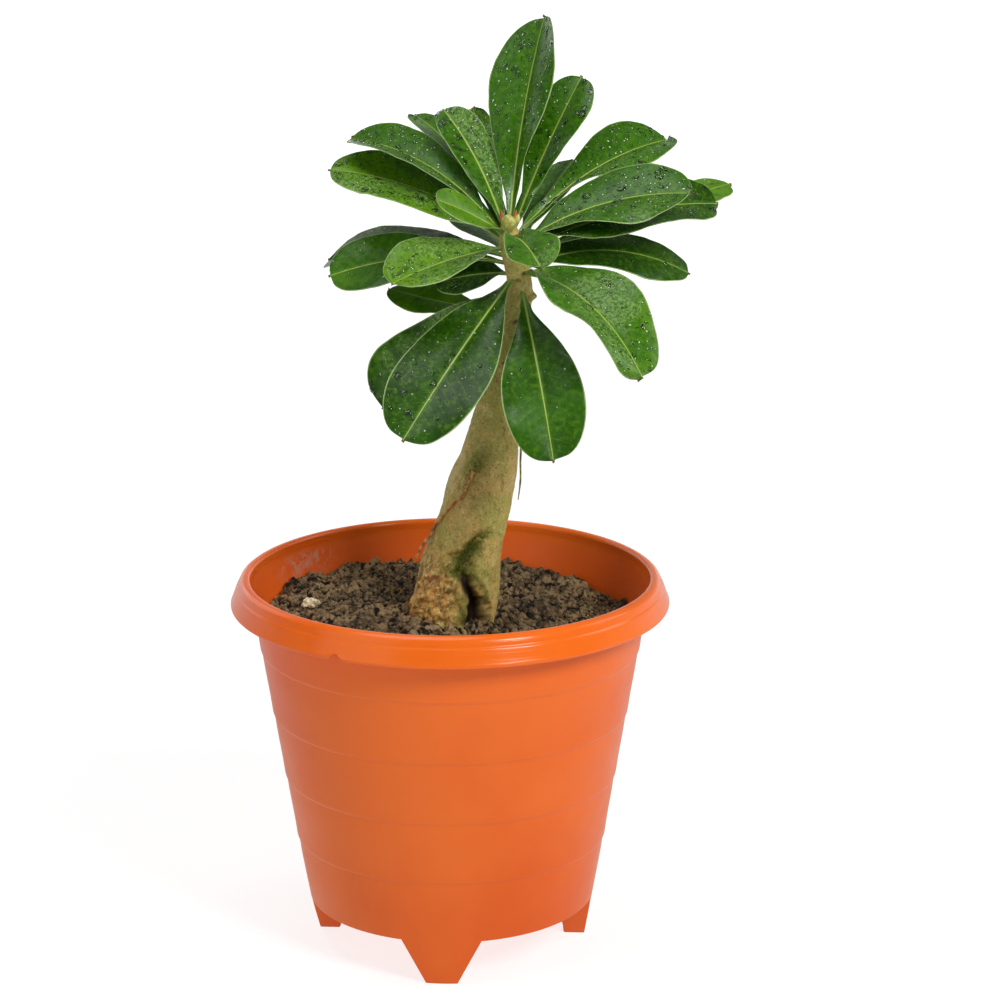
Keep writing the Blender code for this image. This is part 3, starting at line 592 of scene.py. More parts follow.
def stemRipples(angle, height, radius):
    # slow waves round the stem, strong on the swollen foot and faint on the neck
    strength = np.clip(radius / 0.019, 0, 1) ** 2
    return strength, 0.0006 * strength * (np.sin(3 * angle + 60 * height) + np.sin(5 * angle - 140 * height))


def stemSurface(angle, height):
    # radius = plain + ripples + bark + swelling + lumps + root strip - crevice - scars + nub
    centre, plain = stemLine(height)
    spot = np.stack([plain * np.cos(angle), plain * np.sin(angle), height], -1)
    strength, ripples = stemRipples(angle, height, plain)
    low = 1 - smoothStep(height, 0.160, 0.180)
    away = turnBetween(angle, creviceTurn(height)) + 3.5 * softNoise(spot, 0.0030, 43)
    deep = np.interp(height, [0.130, 0.146, 0.161, 0.168, 0.175, 0.180, 0.188, 0.194, 0.200],
                     [0, 0.0066, 0.0070, 0.0056, 0.0036, 0.0032, 0.0036, 0.0022, 0])
    wide = np.interp(height, [0.146, 0.161, 0.168, 0.174, 0.180, 0.188, 0.194, 0.200],
                     [17, 15, 11, 9, 12, 17, 15, 7])
    ragged = 1 + 0.45 * softNoise(spot, 0.0026, 41)
    crevice = deep * np.exp(-np.abs(away / (wide * ragged)) ** 2.6)
    bulb = np.exp(-((turnBetween(angle, -132) / 50.0) ** 4))
    bulb = bulb * (1 - smoothStep(height + 0.005 * softNoise(spot, 0.006, 47), 0.168, 0.202))
    lumps = bulb * (0.0011 * layeredNoise(spot, 0.0048, 51) + 0.0006 * softNoise(spot, 0.0018, 55))
    stripTurn = np.interp(height, [0.150, 0.162, 0.170, 0.180], [-24, -33, -45, -70])
    strip = 0.0014 * bell(turnBetween(angle, stripTurn), 5.0)
    strip = strip * smoothStep(height, 0.145, 0.150) * (1 - smoothStep(height, 0.178, 0.188))
    bark = 0.00030 * layeredNoise(spot * (1, 1, 0.8), 0.005, 61) + 0.00012 * softNoise(spot, 0.0013, 64)
    swelling = 0.0012 * low * bell(turnBetween(angle, -117), 30.0)
    radius = plain + ripples + bark * (0.5 + strength) + swelling + lumps + strip - crevice
    scar = np.zeros(angle.shape)
    for direction, level, wideScar, tall, depth in stem["scars"]:
        sideways = np.radians(turnBetween(angle, direction)) * plain / wideScar
        upwards = (height - level) / tall
        press = np.exp(-(sideways ** 2 + upwards ** 2) ** 1.2)
        radius = radius - depth * press + 0.4 * depth * bell(np.hypot(sideways, upwards) - 1.5, 0.45)
        scar = np.maximum(scar, press)
    nub = bell(np.radians(turnBetween(angle, -12)) * plain, 0.0016) * bell(height - 0.3040, 0.0018)
    radius = radius + 0.0024 * nub
    # hollow: the deep part of the crevice and a spot at its top, which take the bark's painted shade
    hollow = np.clip(1.35 * crevice / (deep + 0.0004), 0, 1)
    hollow = hollow * (1 - smoothStep(height, 0.176, 0.180)) * smoothStep(deep, 0.001, 0.003)
    hollow = np.maximum(hollow, 0.55 * bell(away, 9.0) * bell(height - 0.187, 0.006))
    mossHollow = 1.2 * bell(away, 22.0) * smoothStep(height, 0.174, 0.180)
    mossHollow = mossHollow * (1 - smoothStep(height, 0.194, 0.202))
    mossSpot = bell(turnBetween(angle, -112), 20.0) * bell(height - 0.2290, 0.0095) * 0.85
    mossLow = bell(away + 24, 13.0) * (1 - smoothStep(height, 0.160, 0.182)) * 0.7
    moss = np.clip(np.maximum.reduce([mossHollow, mossSpot, mossLow]), 0, 1)
    return centre, radius, {"hollow": hollow, "bulb": np.clip(1.15 * bulb, 0, 1), "scar": scar, "moss": moss}


def makeStem():
    foot, tip = stem["stations"][0][0], stem["stations"][-1][0]
    height = np.linspace(foot, tip + 0.0012, stem["rows"])
    angle = np.linspace(-math.pi, math.pi, stem["columns"], endpoint=False)
    angle, level = np.meshgrid(angle, height)
    centre, radius, masks = stemSurface(angle, level)
    # the tip closes in a small dome
    radius = radius * np.sqrt(np.clip(1 - ((level - tip).clip(0, None) / 0.0013) ** 2, 0.02, 1))
    points = np.stack([centre + radius * np.cos(angle), radius * np.sin(angle), level], -1)
    return tubePiece("stem_bark", points, stemFinish(), masks)


# leaves

leafForm = dict(
    seatGap=0.0004, sunk=0.0012, petioleHalfWidth=0.0029, tipHalfWidth=0.0005, power=0.80, powerFall=0.44,
    rows=84, around=84, veinSpacing=5.2, veinCurve=0.34, veinPower=1.25,  # veins in millimetres
)
# seat height, azimuth, rise, length, width, sag, turn, roll, fold, wave, phase, belly (metres for the seat,
# millimetres for length, width and wave, degrees for the angles); then its drops, its tone (partly its own
# green, partly painted light and shade for how the leaf is lit) and wet sheen, which also sets its painted
# sheen
leaves = {
    "leaf_01": ((0.3340, 69, 64, 99, 37, 7, -18, -15, 38, 2.2, 270, 1.8), 150, 0.40, 0.10),
    "leaf_02": ((0.3325, 55, 49, 83, 26, 1, -14, 8, 20, 1.6, 140, 2.4), 110, 0.42, 0.20),
    "leaf_03": ((0.3270, 62, 28, 62, 26, 10, 0, -10, 12, 0.6, 90, 2.0), 20, 0.60, 0.8),
    "leaf_04": ((0.3310, 40, 20, 98, 32, 36, 3, 22, 36, 2.5, 240, 2.6), 130, 0.56, 0.65),
    "leaf_05": ((0.3280, 0, 16, 80, 38, 33, -27, 29, 20, 2.4, 240, 1.7), 140, 0.44, 0.70),
    "leaf_06": ((0.3240, 17, 10, 94, 42, 30, 0, 31, 33, 2.4, 50, 1.3), 70, 0.28, 0.60),
    "leaf_07": ((0.3215, 32, 11, 115, 28, 6, 0, 14, 14, 0.8, 60, 2.0), 14, 0.95, 0.5),
    "leaf_08": ((0.3165, 18, -6, 81, 29, 49, -19, 28, 5, 1.4, 190, 1.5), 12, 0.25, 0.2),
    "leaf_09": ((0.3150, -48, -25, 86, 44, 55, -3, 5, 33, 4.2, 20, 1.1), 70, 0.62, 0.9),
    "leaf_10": ((0.3310, -69, -13, 37, 27, 50, 10, 12, 44, 2.6, 210, 2.0), 26, 0.75, 0.6),
    "leaf_11": ((0.3260, -145, -9, 60, 37, 14, 10, -16, 29, 1.0, 50, 1.5), 70, 0.95, 0.9),
    "leaf_12": ((0.3185, 167, -7, 84, 31, 27, 20, -41, 20, 0.4, 200, 2.4), 22, 0.60, 0.3),
    "leaf_13": ((0.3215, 145, -8, 102, 37, 28, 0, -18, 24, 1.4, 290, 2.5), 8, 0.00, 0.3),
    "leaf_14": ((0.3285, 161, 18, 89, 36, 27, 34, -23, 16, 2.0, 0, 1.5), 190, 0.95, 1.0),
    "leaf_15": ((0.3315, 148, 24, 90, 34, 47, -1, -10, 34, 1.2, 290, 2.2), 120, 0.44, 0.80),
    "leaf_16": ((0.3305, 121, 28, 93, 22, 37, 0, 2, 29, 0.7, 240, 2.0), 36, 0.60, 0.5),
    "leaf_17": ((0.3345, 127, 46, 66, 21, 29, 2, -19, 31, 2.2, 330, 1.6), 90, 0.52, 1.0),
    "leaf_18": ((0.3330, 107, 42, 70, 18, 4, 0, 10, 4, 2.0, 220, 2.6), 60, 0.75, 0.9),
    "leaf_19": ((0.3330, -140, 27, 42, 18, 12, 0, -44, 20, 0.5, 350, 1.6), 8, 0.95, 0.2),
    "leaf_20": ((0.3120, -129, -38, 96, 42, 12, -5, -24, 14, 2.2, 320, 1.6), 44, 0.16, 0.20),
    "leaf_21": ((0.3100, 172, -47, 83, 43, 6, 0, -60, 20, 4.0, 300, 2.2), 40, 0.45, 0.8),
    "leaf_22": ((0.3060, -77, -46, 87, 37, 24, 4, 14, 23, 1.8, 90, 1.8), 4, 0.32, 0.0),
    "leaf_23": ((0.2960, 147, 3, 64, 19, -10, -1, -28, 10, 1.5, 100, 1.8), 5, 0.95, 0.2),
    "leaf_24": ((0.3140, 164, -11, 34, 24, 16, 0, -30, 10, 0.6, 140, 1.2), 3, 0.10, 0.2),
    "leaf_25": ((0.3200, 111, 10, 60, 26, 12, 0, 0, 12, 1.0, 220, 2.0), 4, 0.30, 0.2),
}
# where the film of water and its painted sheen keep to one half of the blade: +1 the half along the side
# axis, -1 the other
wetSheenHalves = {"leaf_04": -1, "leaf_05": -1, "leaf_06": -1, "leaf_14": 1, "leaf_15": 1, "leaf_17": -1}
green = dict(
    deep=(0.010, 0.044, 0.001), leafy=(0.036, 0.135, 0.002), fresh=(0.130, 0.300, 0.005),
    vein=(0.400, 0.520, 0.110), under=(0.100, 0.230, 0.045), paintedHighlight=(0.70, 0.86, 0.58),
    edge=(0.42, 0.55, 0.22), stalk=(0.200, 0.300, 0.050), dryTip=(0.16, 0.07, 0.02),
    paintedSheenDark=(0.030, 0.120, 0.004), paintedSheenPale=(0.260, 0.430, 0.100), roughness=0.31,
)


def paintedBeadLight(tree, place, above, spray):
    # sprayed beads too small to model: a painted highlight dot high in each picked cell, and a painted dark
    # rim round it as its shade
    drawOut, lift = {0: place, 1: (1.0, 1.0, 0.62)}, (0.00013, 0.0, -0.00010)
    drawn = addNode(tree, "ShaderNodeVectorMath", drawOut, operation="MULTIPLY").outputs[0]
    higher = addNode(tree, "ShaderNodeVectorMath", {0: drawn, 1: lift}, operation="ADD").outputs[0]
    distance, chances = cellsOf(tree, drawn, 560.0)
    dot = cellsOf(tree, higher, 560.0)[0]
    picked = times(tree, ranged(tree, calc(tree, "ADD", chances[0], spray), 0.98, 1.02), above)
    rim = times(tree, ranged(tree, distance, 0.42, 0.34), picked)
    bright = times(tree, picked, ranged(tree, chances[1], 0.1, 0.9, (0.15, 1.0)))
    return rim, times(tree, ranged(tree, dot, 0.25, 0.13), bright)


def leafFinish():
    made, tree, shader = newMaterial("leaf green", IOR=1.34)
    shader.inputs["Subsurface Weight"].default_value = 0.06
    shader.inputs["Subsurface Radius"].default_value = (0.0010, 0.0026, 0.0005)
    place = placeOf(tree)
    surface = addNode(tree, "ShaderNodeUVMap", uv_map="surface").outputs[0]
    parts = addNode(tree, "ShaderNodeSeparateXYZ", {0: surface})
    reach, run = parts.outputs[0], parts.outputs[1]  # millimetres from the midrib and along it
    names = ("side", "along", "toneAndPaintedLight", "under", "wet", "spray")
    side, along, toneAndPaintedLight, under, wet, spray = (layerOf(tree, name) for name in names)
    above = calc(tree, "SUBTRACT", 1.0, under)
    offMidrib = calc(tree, "ABSOLUTE", reach)
    offMiddle = calc(tree, "ABSOLUTE", side)
    # lateral veins leave the midrib slanting forward and curve towards the tip
    curve = times(tree, calc(tree, "POWER", offMidrib, leafForm["veinPower"]), leafForm["veinCurve"])
    wander = times(tree, calc(tree, "SUBTRACT", noiseOf(tree, place, 60.0, 2.0), 0.5), 3.5)
    phase = calc(tree, "ADD", calc(tree, "SUBTRACT", run, curve), wander)
    phase = calc(tree, "DIVIDE", phase, leafForm["veinSpacing"])
    tooth = calc(tree, "ABSOLUTE", calc(tree, "SUBTRACT", calc(tree, "FRACT", phase), 0.5))
    lateral = times(tree, ranged(tree, tooth, 0.045, 0.0), ranged(tree, offMiddle, 0.90, 0.35), True)
    between = ranged(tree, tooth, 0.5, 0.0)
    offRib = calc(tree, "SUBTRACT", offMidrib, calc(tree, "MULTIPLY_ADD", along, -0.36, 0.50))
    rib = ranged(tree, offRib, 0.16, -0.12)
    margin = ranged(tree, offMiddle, 0.955, 0.992)
    # a broken film of water lies in patches: smoother and puckered, and painted pale and flecked as its
    # sheen, a painted reflection
    patch = calc(tree, "ADD", noiseOf(tree, place, 48.0, 3.0, 0.55, 0.6), times(tree, wet, 0.24))
    filmAndPaintedSheen = times(tree, times(tree, ranged(tree, patch, 0.58, 0.80), wet), above, True)
    flecks = noiseOf(tree, place, 700.0, 4.0, 0.7, 0.5)
    water = mixed(tree, ranged(tree, flecks, 0.40, 0.60), green["paintedSheenDark"], green["paintedSheenPale"])
    rim, paintedHighlight = paintedBeadLight(tree, place, above, spray)
    cloud = times(tree, calc(tree, "SUBTRACT", noiseOf(tree, place, 30.0, 4.0, 0.6), 0.5), 1.5)
    # each leaf's tone, partly its own green and partly painted light and shade for how it is lit, spread by a
    # cloudy noise
    spread = calc(tree, "ADD", toneAndPaintedLight, cloud)
    mottled = noiseOf(tree, place, 420.0, 4.0, 0.65)
    colour = coated(tree, green["deep"],
                    (ranged(tree, spread, -0.10, 0.62), green["leafy"]),
                    (ranged(tree, spread, 0.55, 1.25), green["fresh"]),
                    (ranged(tree, mottled, 0.48, 0.68, (0.0, 0.34)), green["fresh"]),
                    (ranged(tree, mottled, 0.47, 0.30, (0.0, 0.50)), green["deep"]),
                    (times(tree, lateral, 0.13), green["vein"]),
                    (ranged(tree, offRib, 2.0, 0.0, (0.0, 0.22)), green["fresh"]),
                    (times(tree, under, 0.50), green["under"]),
                    # painted reflection: the film's pale flecked sheen laid over the green
                    (times(tree, filmAndPaintedSheen, 0.62), water),
                    # painted shade and painted highlight of the sprayed beads: dark rims, which are also
                    # bumped, and bright dots
                    (times(tree, rim, 0.55), green["deep"]),
                    (times(tree, paintedHighlight, 0.85), green["paintedHighlight"]),
                    (times(tree, margin, 0.80), green["edge"]),
                    (times(tree, rib, 0.95), green["vein"]),
                    (ranged(tree, along, 0.14, 0.02, (0.0, 0.55)), green["stalk"]),
                    (ranged(tree, along, 0.985, 0.997, (0.0, 0.8)), green["dryTip"]))
    tree.links.new(colour, shader.inputs["Base Color"])
    rough = ranged(tree, noiseOf(tree, place, 90.0, 4.0, 0.6), 0.30, 0.72,
                   (green["roughness"] - 0.08, green["roughness"] + 0.10))
    rough = calc(tree, "ADD", rough, times(tree, under, 0.18))
    rough = calc(tree, "SUBTRACT", rough, times(tree, filmAndPaintedSheen, 0.14), clamp=True)
    tree.links.new(rough, shader.inputs["Roughness"])
    puckers = noiseOf(tree, place, 330.0, 4.0, 0.6, 0.5)
    net = addNode(tree, "ShaderNodeTexVoronoi", {"Vector": place, "Scale": 620.0}, feature="DISTANCE_TO_EDGE")
    bumped(tree, shader, (between, 0.04, 0.0006), (lateral, -0.10, 0.0003), (net.outputs[0], 0.08, 0.0003),
           (mottled, 0.14, 0.00025), (puckers, times(tree, filmAndPaintedSheen, 0.70), 0.0011), (rim, 0.30, 0.0003))
    return made


def halfWidth(leaf, along):
    # obovate: w = 0.5 * width * sin(pi * along^belly)^(power - fall * along), or the stalk's if that is more
    width, belly = leaf[4], leaf[11]
    power = leafForm["power"] - leafForm["powerFall"] * along
    body = np.sin(np.pi * np.clip(along / 0.985, 0, 1) ** belly) ** power
    petiole = leafForm["petioleHalfWidth"] * (1 - smoothStep(along, 0.14, 0.55))
    petiole = petiole * (0.35 + 0.65 * smoothStep(along, 0.0, 0.13))
    return np.maximum(0.5e-3 * width * body, petiole) + leafForm["tipHalfWidth"] * along


def seatRadius(angle, height):
    table = np.array(stem["stations"])
    plain = np.interp(height, table[:, 0], table[:, 2])
    return plain + stemRipples(angle, height, plain)[1]


def leafPoints(leaf, side, along):
    # P = midrib(along) + reach * sideways + lift * upper, with the midrib bent by sag and turn
    seat, azimuth, rise, length, _, sag, turn, roll, fold, wave, phase, _ = leaf
    steps = 60
    mark = np.linspace(0, 1, steps + 1)
    bend = 0.5 - mark
    rises = np.radians(rise + sag * bend)
    heads = np.radians(azimuth - turn * bend)
    ahead = np.stack([np.cos(rises) * np.cos(heads), np.cos(rises) * np.sin(heads), np.sin(rises)], 1)
    pieces = 0.5 * (ahead[1:] + ahead[:-1]) * (length * 1e-3 / steps)
    line = np.concatenate([np.zeros((1, 3)), np.cumsum(pieces, 0)])
    table = np.array(stem["stations"])
    centre = np.interp(seat, table[:, 0], table[:, 1])
    out = seatRadius(heads[0], seat) + leafForm["seatGap"] + 0.0008 * abs(math.sin(rises[0]))
    out = out - leafForm["sunk"]
    line = line + (centre + out * math.cos(heads[0]), out * math.sin(heads[0]), seat)
    across = np.stack([-np.sin(heads), np.cos(heads), 0 * heads], 1)
    points, aheads, acrosses = (np.stack([np.interp(along, mark, rows[:, axis]) for axis in range(3)], -1)
                                for rows in (line, ahead, across))
    upper = np.cross(aheads, acrosses)
    twist = (np.radians(roll) * smoothStep(along, 0.0, 0.3))[..., None]
    sideways = np.cos(twist) * acrosses + np.sin(twist) * upper
    upper = np.cos(twist) * upper - np.sin(twist) * acrosses
    reach = halfWidth(leaf, along) * side
    folding = np.radians(fold) * (1 - 0.45 * along)
    start = np.radians(phase) + np.where(side > 0, 2.1, 0.0)
    height = 1e-3 * wave * np.where(side > 0, 0.5, 1.0)
    waving = height * side ** 2 * np.sin(2 * np.pi * 1.6 * along + start) * smoothStep(along, 0.05, 0.3)
    lift = np.abs(reach) * np.sin(folding) - 0.10 * np.abs(reach) * np.abs(side) + waving
    return points + (reach * np.cos(folding))[..., None] * sideways + lift[..., None] * upper, upper, reach


def makeLeaf(name, finish):
    leaf, drops, toneAndPaintedLight, sheen = leaves[name]
    length = leaf[3]
    share = np.linspace(0, 1, leafForm["rows"])
    along = np.interp(share, [0, 0.5, 0.9, 1.0], [0, 0.52, 0.965, 1.0])
    turn = np.linspace(0, 2 * math.pi, leafForm["around"], endpoint=False)
    along, turn = np.meshgrid(along, turn, indexing="ij")
    # round the cross-section: side = cos(turn), above for the first half turn and below for the second
    side = np.cos(turn)
    side = np.sign(side) * np.abs(side) ** 0.9
    points, upper, reach = leafPoints(leaf, side, along)
    rng = np.random.default_rng(int(name[-2:]) + 70)
    seed = int(rng.integers(1000))
    margin = 0.00045 * softNoise(points, 0.009, seed) + 0.00030 * softNoise(points, 0.004, seed + 1)
    points = points + (np.abs(side) ** 6 * margin * smoothStep(along, 0.2, 0.4))[..., None] * upper
    # quilting between the lateral veins, and a midrib sunken above and raised below
    offMidrib = np.abs(reach) * 1000
    curve = leafForm["veinCurve"] * offMidrib ** leafForm["veinPower"]
    phase = (along * length - curve) / leafForm["veinSpacing"]
    quilt = 0.000010 * np.cos(2 * np.pi * phase) * np.clip(offMidrib / 3, 0, 1) * (1 - np.abs(side) ** 4)
    ribShape = np.exp(-(offMidrib / (1.15 - 0.75 * along)) ** 2)
    sunken = 0.00022 * ribShape * smoothStep(along, 0.03, 0.12)
    stalk = 0.0005 * ribShape * (1 - smoothStep(along, 0.0, 0.08))
    raised = (0.00085 - 0.00045 * along) * ribShape
    half = 0.00034  # half of the plain blade's thickness
    thick = np.where(np.sin(turn) >= 0, half - sunken + stalk, -(half + raised))
    points = points + (thick * np.abs(np.sin(turn)) ** 0.45 + quilt)[..., None] * upper
    uv = np.stack([reach * 1000, along * length], -1)
    wetSide = wetSheenHalves.get(name, 0)
    everywhere = np.ones(side.shape)
    layers = {
        "side": side, "along": along, "toneAndPaintedLight": toneAndPaintedLight * everywhere,
        "wet": sheen * (smoothStep(side * wetSide, -0.04, 0.12) if wetSide else everywhere),
        "spray": (0.05 + 0.55 * min(1.0, drops / 140.0)) * everywhere,
        "under": (np.sin(turn) < -1e-6).astype(float),
    }
    return tubePiece(name.replace("leaf", "blade"), points, finish, layers, uv, flipped=True)


def dropsFinish():
    made, _, shader = newMaterial("water drops", Roughness=0.02, IOR=1.42)
    shader.inputs["Transmission Weight"].default_value = 1.0
    shader.inputs["Base Color"].default_value = (0.96, 1.0, 0.97, 1.0)
    return made


def makeDrops(name):
    # flat domes on the upper face: P = seat + r * (cos, sin) along the face + tall * r * sin(rise) out of it
    leaf, count, _, _ = leaves[name]
    rng = np.random.default_rng(int(name[-2:]) + 300)
    along = 0.18 + 0.80 * rng.uniform(0, 1, count) ** 0.75
    side = rng.uniform(-0.88, 0.88, count)
    size = rng.choice([0.00035, 0.00050, 0.00070, 0.00105, 0.00160], count, p=[0.30, 0.32, 0.22, 0.12, 0.04])
    keep = np.abs(side) * halfWidth(leaf, along) > 0.0012
    along, side, size = along[keep], side[keep], size[keep]
    middle = leafPoints(leaf, side, along)[0]
    ahead = leafPoints(leaf, side, along + 0.004)[0] - middle
    beside = leafPoints(leaf, side + 0.02, along)[0] - middle
    ahead /= np.linalg.norm(ahead, axis=1, keepdims=True)
    out = np.cross(ahead, beside)
    out /= np.linalg.norm(out, axis=1, keepdims=True)
    beside = np.cross(out, ahead)
    tall = rng.uniform(0.35, 0.55, len(size))
    long = rng.uniform(1.0, 1.8, len(size))
    axes = np.stack([(size * long)[:, None] * ahead, size[:, None] * beside, (size * tall)[:, None] * out], 1)
    base = middle + 0.00030 * out
    return base[:, None, None] + unitBall([-0.30, 0.15, 0.60, 1.10], 10) @ axes[:, None]


# buds, dry pieces and the pale crumb

buds = {
    "bud": ((0.0264, -0.0058, 0.3380), 0.0034, 0.0041, -8, -30, "fresh"),
    "side_bud": ((0.0303, -0.0028, 0.3387), 0.0013, 0.0026, 12, -10, "fresh"),
    "red_scale_left": ((0.0236, 0.0018, 0.3388), 0.0009, 0.0035, -12, 6, "red"),
    "red_scale_right": ((0.0293, 0.0012, 0.3388), 0.0010, 0.0035, 10, 6, "red"),
}


def budFinish(name, light, dark):
    made, tree, shader = newMaterial(name, Roughness=0.42)
    shader.inputs["Subsurface Weight"].default_value = 0.15
    shader.inputs["Subsurface Radius"].default_value = (0.002, 0.001, 0.0005)
    place = placeOf(tree)
    colour = coated(tree, light, (ranged(tree, noiseOf(tree, place, 420.0, 3.0), 0.4, 0.65), dark),
                    (times(tree, layerOf(tree, "seam"), 0.7), dark))
    tree.links.new(colour, shader.inputs["Base Color"])
    bumped(tree, shader, (noiseOf(tree, place, 1500.0, 3.0), 0.35, 0.0003))
    return made


def makeBud(name, finish):
    # an egg with overlapping scales: r = half width * cos(rise) * (1 - 0.18 sin(rise)), with spiral seams
    centre, halfAcross, halfTall, left, away, _ = buds[name]
    rise, turn = np.meshgrid(np.linspace(-1.5, 1.5, 40), np.linspace(0, 2 * math.pi, 48, endpoint=False),
                             indexing="ij")
    spiral = np.sin(2.5 * turn + 3.2 * rise) if halfAcross > 0.002 else np.sin(2 * turn + 2.0 * rise)
    seam = bell(spiral, 0.22) * (np.cos(2.5 * turn + 3.2 * rise) > 0)
    radius = halfAcross * np.cos(rise) * (1 - 0.18 * np.sin(rise)) * (1 - 0.07 * seam)
    points = np.stack([radius * np.cos(turn), radius * np.sin(turn), halfTall * np.sin(rise)], -1)
    tilt, lean = math.radians(-away), math.radians(left)
    aboutX = np.array([[1, 0, 0], [0, math.cos(tilt), -math.sin(tilt)], [0, math.sin(tilt), math.cos(tilt)]])
    aboutY = np.array([[math.cos(lean), 0, math.sin(lean)], [0, 1, 0], [-math.sin(lean), 0, math.cos(lean)]])
    return tubePiece(name + "_skin", points @ (aboutY @ aboutX).T + centre, finish, {"seam": seam})


dry = dict(
    # degrees round the stem, height, clear of the bark
    strand=((-110, 0.2265, 0.0001), (-113, 0.2205, 0.0001), (-118, 0.2150, 0.0001), (-132, 0.2115, 0.0001),
            (-144, 0.2070, 0.0001), (-157, 0.2020, 0.0001), (-166, 0.1979, 0.0002), (-170, 0.1939, 0.0006),
            (-171, 0.1901, 0.0018), (-172, 0.1868, 0.0026), (-172, 0.1835, 0.0030)),
    thread=((0.0318, -0.0040, 0.2440), (0.0321, -0.0050, 0.2360), (0.0319, -0.0050, 0.2290),
            (0.0319, -0.0050, 0.2200), (0.0309, -0.0048, 0.2110)),
    strandRadius=0.00075, threadRadius=0.0005,
)


def smoothPath(points, count):
    # a curve through the points: cubic pieces with the slopes of the neighbours
    points = np.array(points, float)
    slopes = np.gradient(points, axis=0)
    mark = np.linspace(0, len(points) - 1, count)
    cell = np.minimum(mark.astype(int), len(points) - 2)
    t = (mark - cell)[:, None]
    return ((2 * t ** 3 - 3 * t ** 2 + 1) * points[cell] + (t ** 3 - 2 * t ** 2 + t) * slopes[cell]
            + (3 * t ** 2 - 2 * t ** 3) * points[cell + 1] + (t ** 3 - t ** 2) * slopes[cell + 1])


def tubeAlong(path, radius, around):
    # rings of radius r(s) square to the path
    ahead = np.gradient(path, axis=0)
    ahead /= np.linalg.norm(ahead, axis=1, keepdims=True)
    beside = np.cross(ahead, (0.3, 1.0, 0.2))
    beside /= np.linalg.norm(beside, axis=1, keepdims=True)
    out = np.cross(ahead, beside)
    turn = np.linspace(0, 2 * math.pi, around, endpoint=False)
    ring = np.cos(turn)[None, :, None] * beside[:, None] + np.sin(turn)[None, :, None] * out[:, None]
    return path[:, None] + radius[:, None, None] * ring


def strawFinish(name, light, dark):
    made, tree, shader = newMaterial(name, Roughness=0.8)
    place = placeOf(tree)
    colour = mixed(tree, patches(tree, place, 380.0, 0.38, 0.62), light, dark)
    tree.links.new(colour, shader.inputs["Base Color"])
    bumped(tree, shader, (noiseOf(tree, place, 1400.0, 4.0), 0.6, 0.0003))
    return made


def makeStrand():
    angle, height, lift = np.array(dry["strand"]).T
    angle = np.radians(angle)
    centre, radius, _ = stemSurface(angle, height)
    out = radius + 0.6 * dry["strandRadius"] + lift
    count = 160
    path = smoothPath(np.stack([centre + out * np.cos(angle), out * np.sin(angle), height], 1), count)
    lumps = softNoise(path, 0.0021, 12) + 0.5 * softNoise(path, 0.0009, 13)
    thinning = np.interp(np.arange(count), [0, 20, 120, count], [1.5, 1.15, 0.95, 0.7])
    thick = dry["strandRadius"] * (0.95 + 0.5 * lumps) * thinning
    path = path + 0.0003 * np.stack([softNoise(path, 0.0030, 14 + axis) for axis in range(3)], 1)
    straw = strawFinish("dry straw", (0.66, 0.36, 0.11), (0.30, 0.12, 0.035))
    return tubePiece("strand", tubeAlong(path, thick, 14), straw, flipped=True)


def makeThread():
    count = 90
    path = smoothPath(dry["thread"], count)
    thinning = np.interp(np.arange(count), [0, 70, count], [1, 1, 0.5])
    thick = dry["threadRadius"] * (0.9 + 0.3 * softNoise(path, 0.0030, 18)) * thinning
    straw = strawFinish("dry thread", (0.30, 0.27, 0.08), (0.15, 0.11, 0.04))
    return tubePiece("thread", tubeAlong(path, thick, 12), straw, flipped=True)


crumb = dict(
    place=(-0.0645, 0.0070), radius=0.0034, light=(0.86, 0.78, 0.52), dark=(0.42, 0.33, 0.18),
    # each lump: how far towards +X and +Y, and its scale
    lumps=((0, 0, 1.0), (0.0022, 0.0016, 0.7), (-0.0024, -0.0010, 0.62), (0.0010, -0.0024, 0.5),
           (0.0034, 0.0034, 0.45)),
)


def crumbFinish():
    made, tree, shader = newMaterial("pale crumb", Roughness=0.85)
    place = placeOf(tree)
    colour = mixed(tree, patches(tree, place, 500.0, 0.42, 0.62), crumb["light"], crumb["dark"])
    tree.links.new(colour, shader.inputs["Base Color"])
    bumped(tree, shader, (noiseOf(tree, place, 900.0, 4.0), 0.8, 0.0006))
    return made


def makeCrumb():
    ball = unitBall(np.linspace(-1.45, 1.45, 22), 30)
    x, y = crumb["place"]
    parts = []
    for dx, dy, scale in crumb["lumps"]:
        middle = np.array([x + dx, y + dy, soilBase(x + dx, y + dy) + 0.0024 * scale])
        lump = ball * (1.0, 0.9, 0.8) * crumb["radius"] * 0.80 * scale
        parts.append(lump * (1 + 0.30 * layeredNoise(lump + middle, 0.0018, 90))[..., None] + middle)
    return ballsPiece("crumb_skin", np.stack(parts), crumbFinish())


# putting the object together

def mount(piece, slotName, *nodes):
    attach(piece, "root")
    if nodes:
        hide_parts(*nodes)
    return piece


shell = makePot()
mount(shell, "orange_plastic", "pot")
print("pot:", len(shell.data.polygons), "faces")
soilSkin = soilFinish()
ground = makeGround(soilSkin)
looseCrumbs = makeCrumbs(soilSkin)
mount(ground, "potting_soil", "soil")
mount(looseCrumbs, "potting_soil")
print("soil:", len(ground.data.polygons), "and", len(looseCrumbs.data.polygons), "faces")
mount(makeStem(), "bark", "stem")
print("stem done")
leafSkin = leafFinish()
waterSkin = dropsFinish()
allDrops = []
for leafName in leaves:
    mount(makeLeaf(leafName, leafSkin), "leaf_green", leafName)
    allDrops.append(makeDrops(leafName))
mount(ballsPiece("water_drops", np.concatenate(allDrops), waterSkin), "leaf_green")
print("leaves:", len(leaves), "with", sum(len(group) for group in allDrops), "drops")
freshSkin = budFinish("bud green", (0.62, 0.60, 0.18), (0.34, 0.33, 0.06))
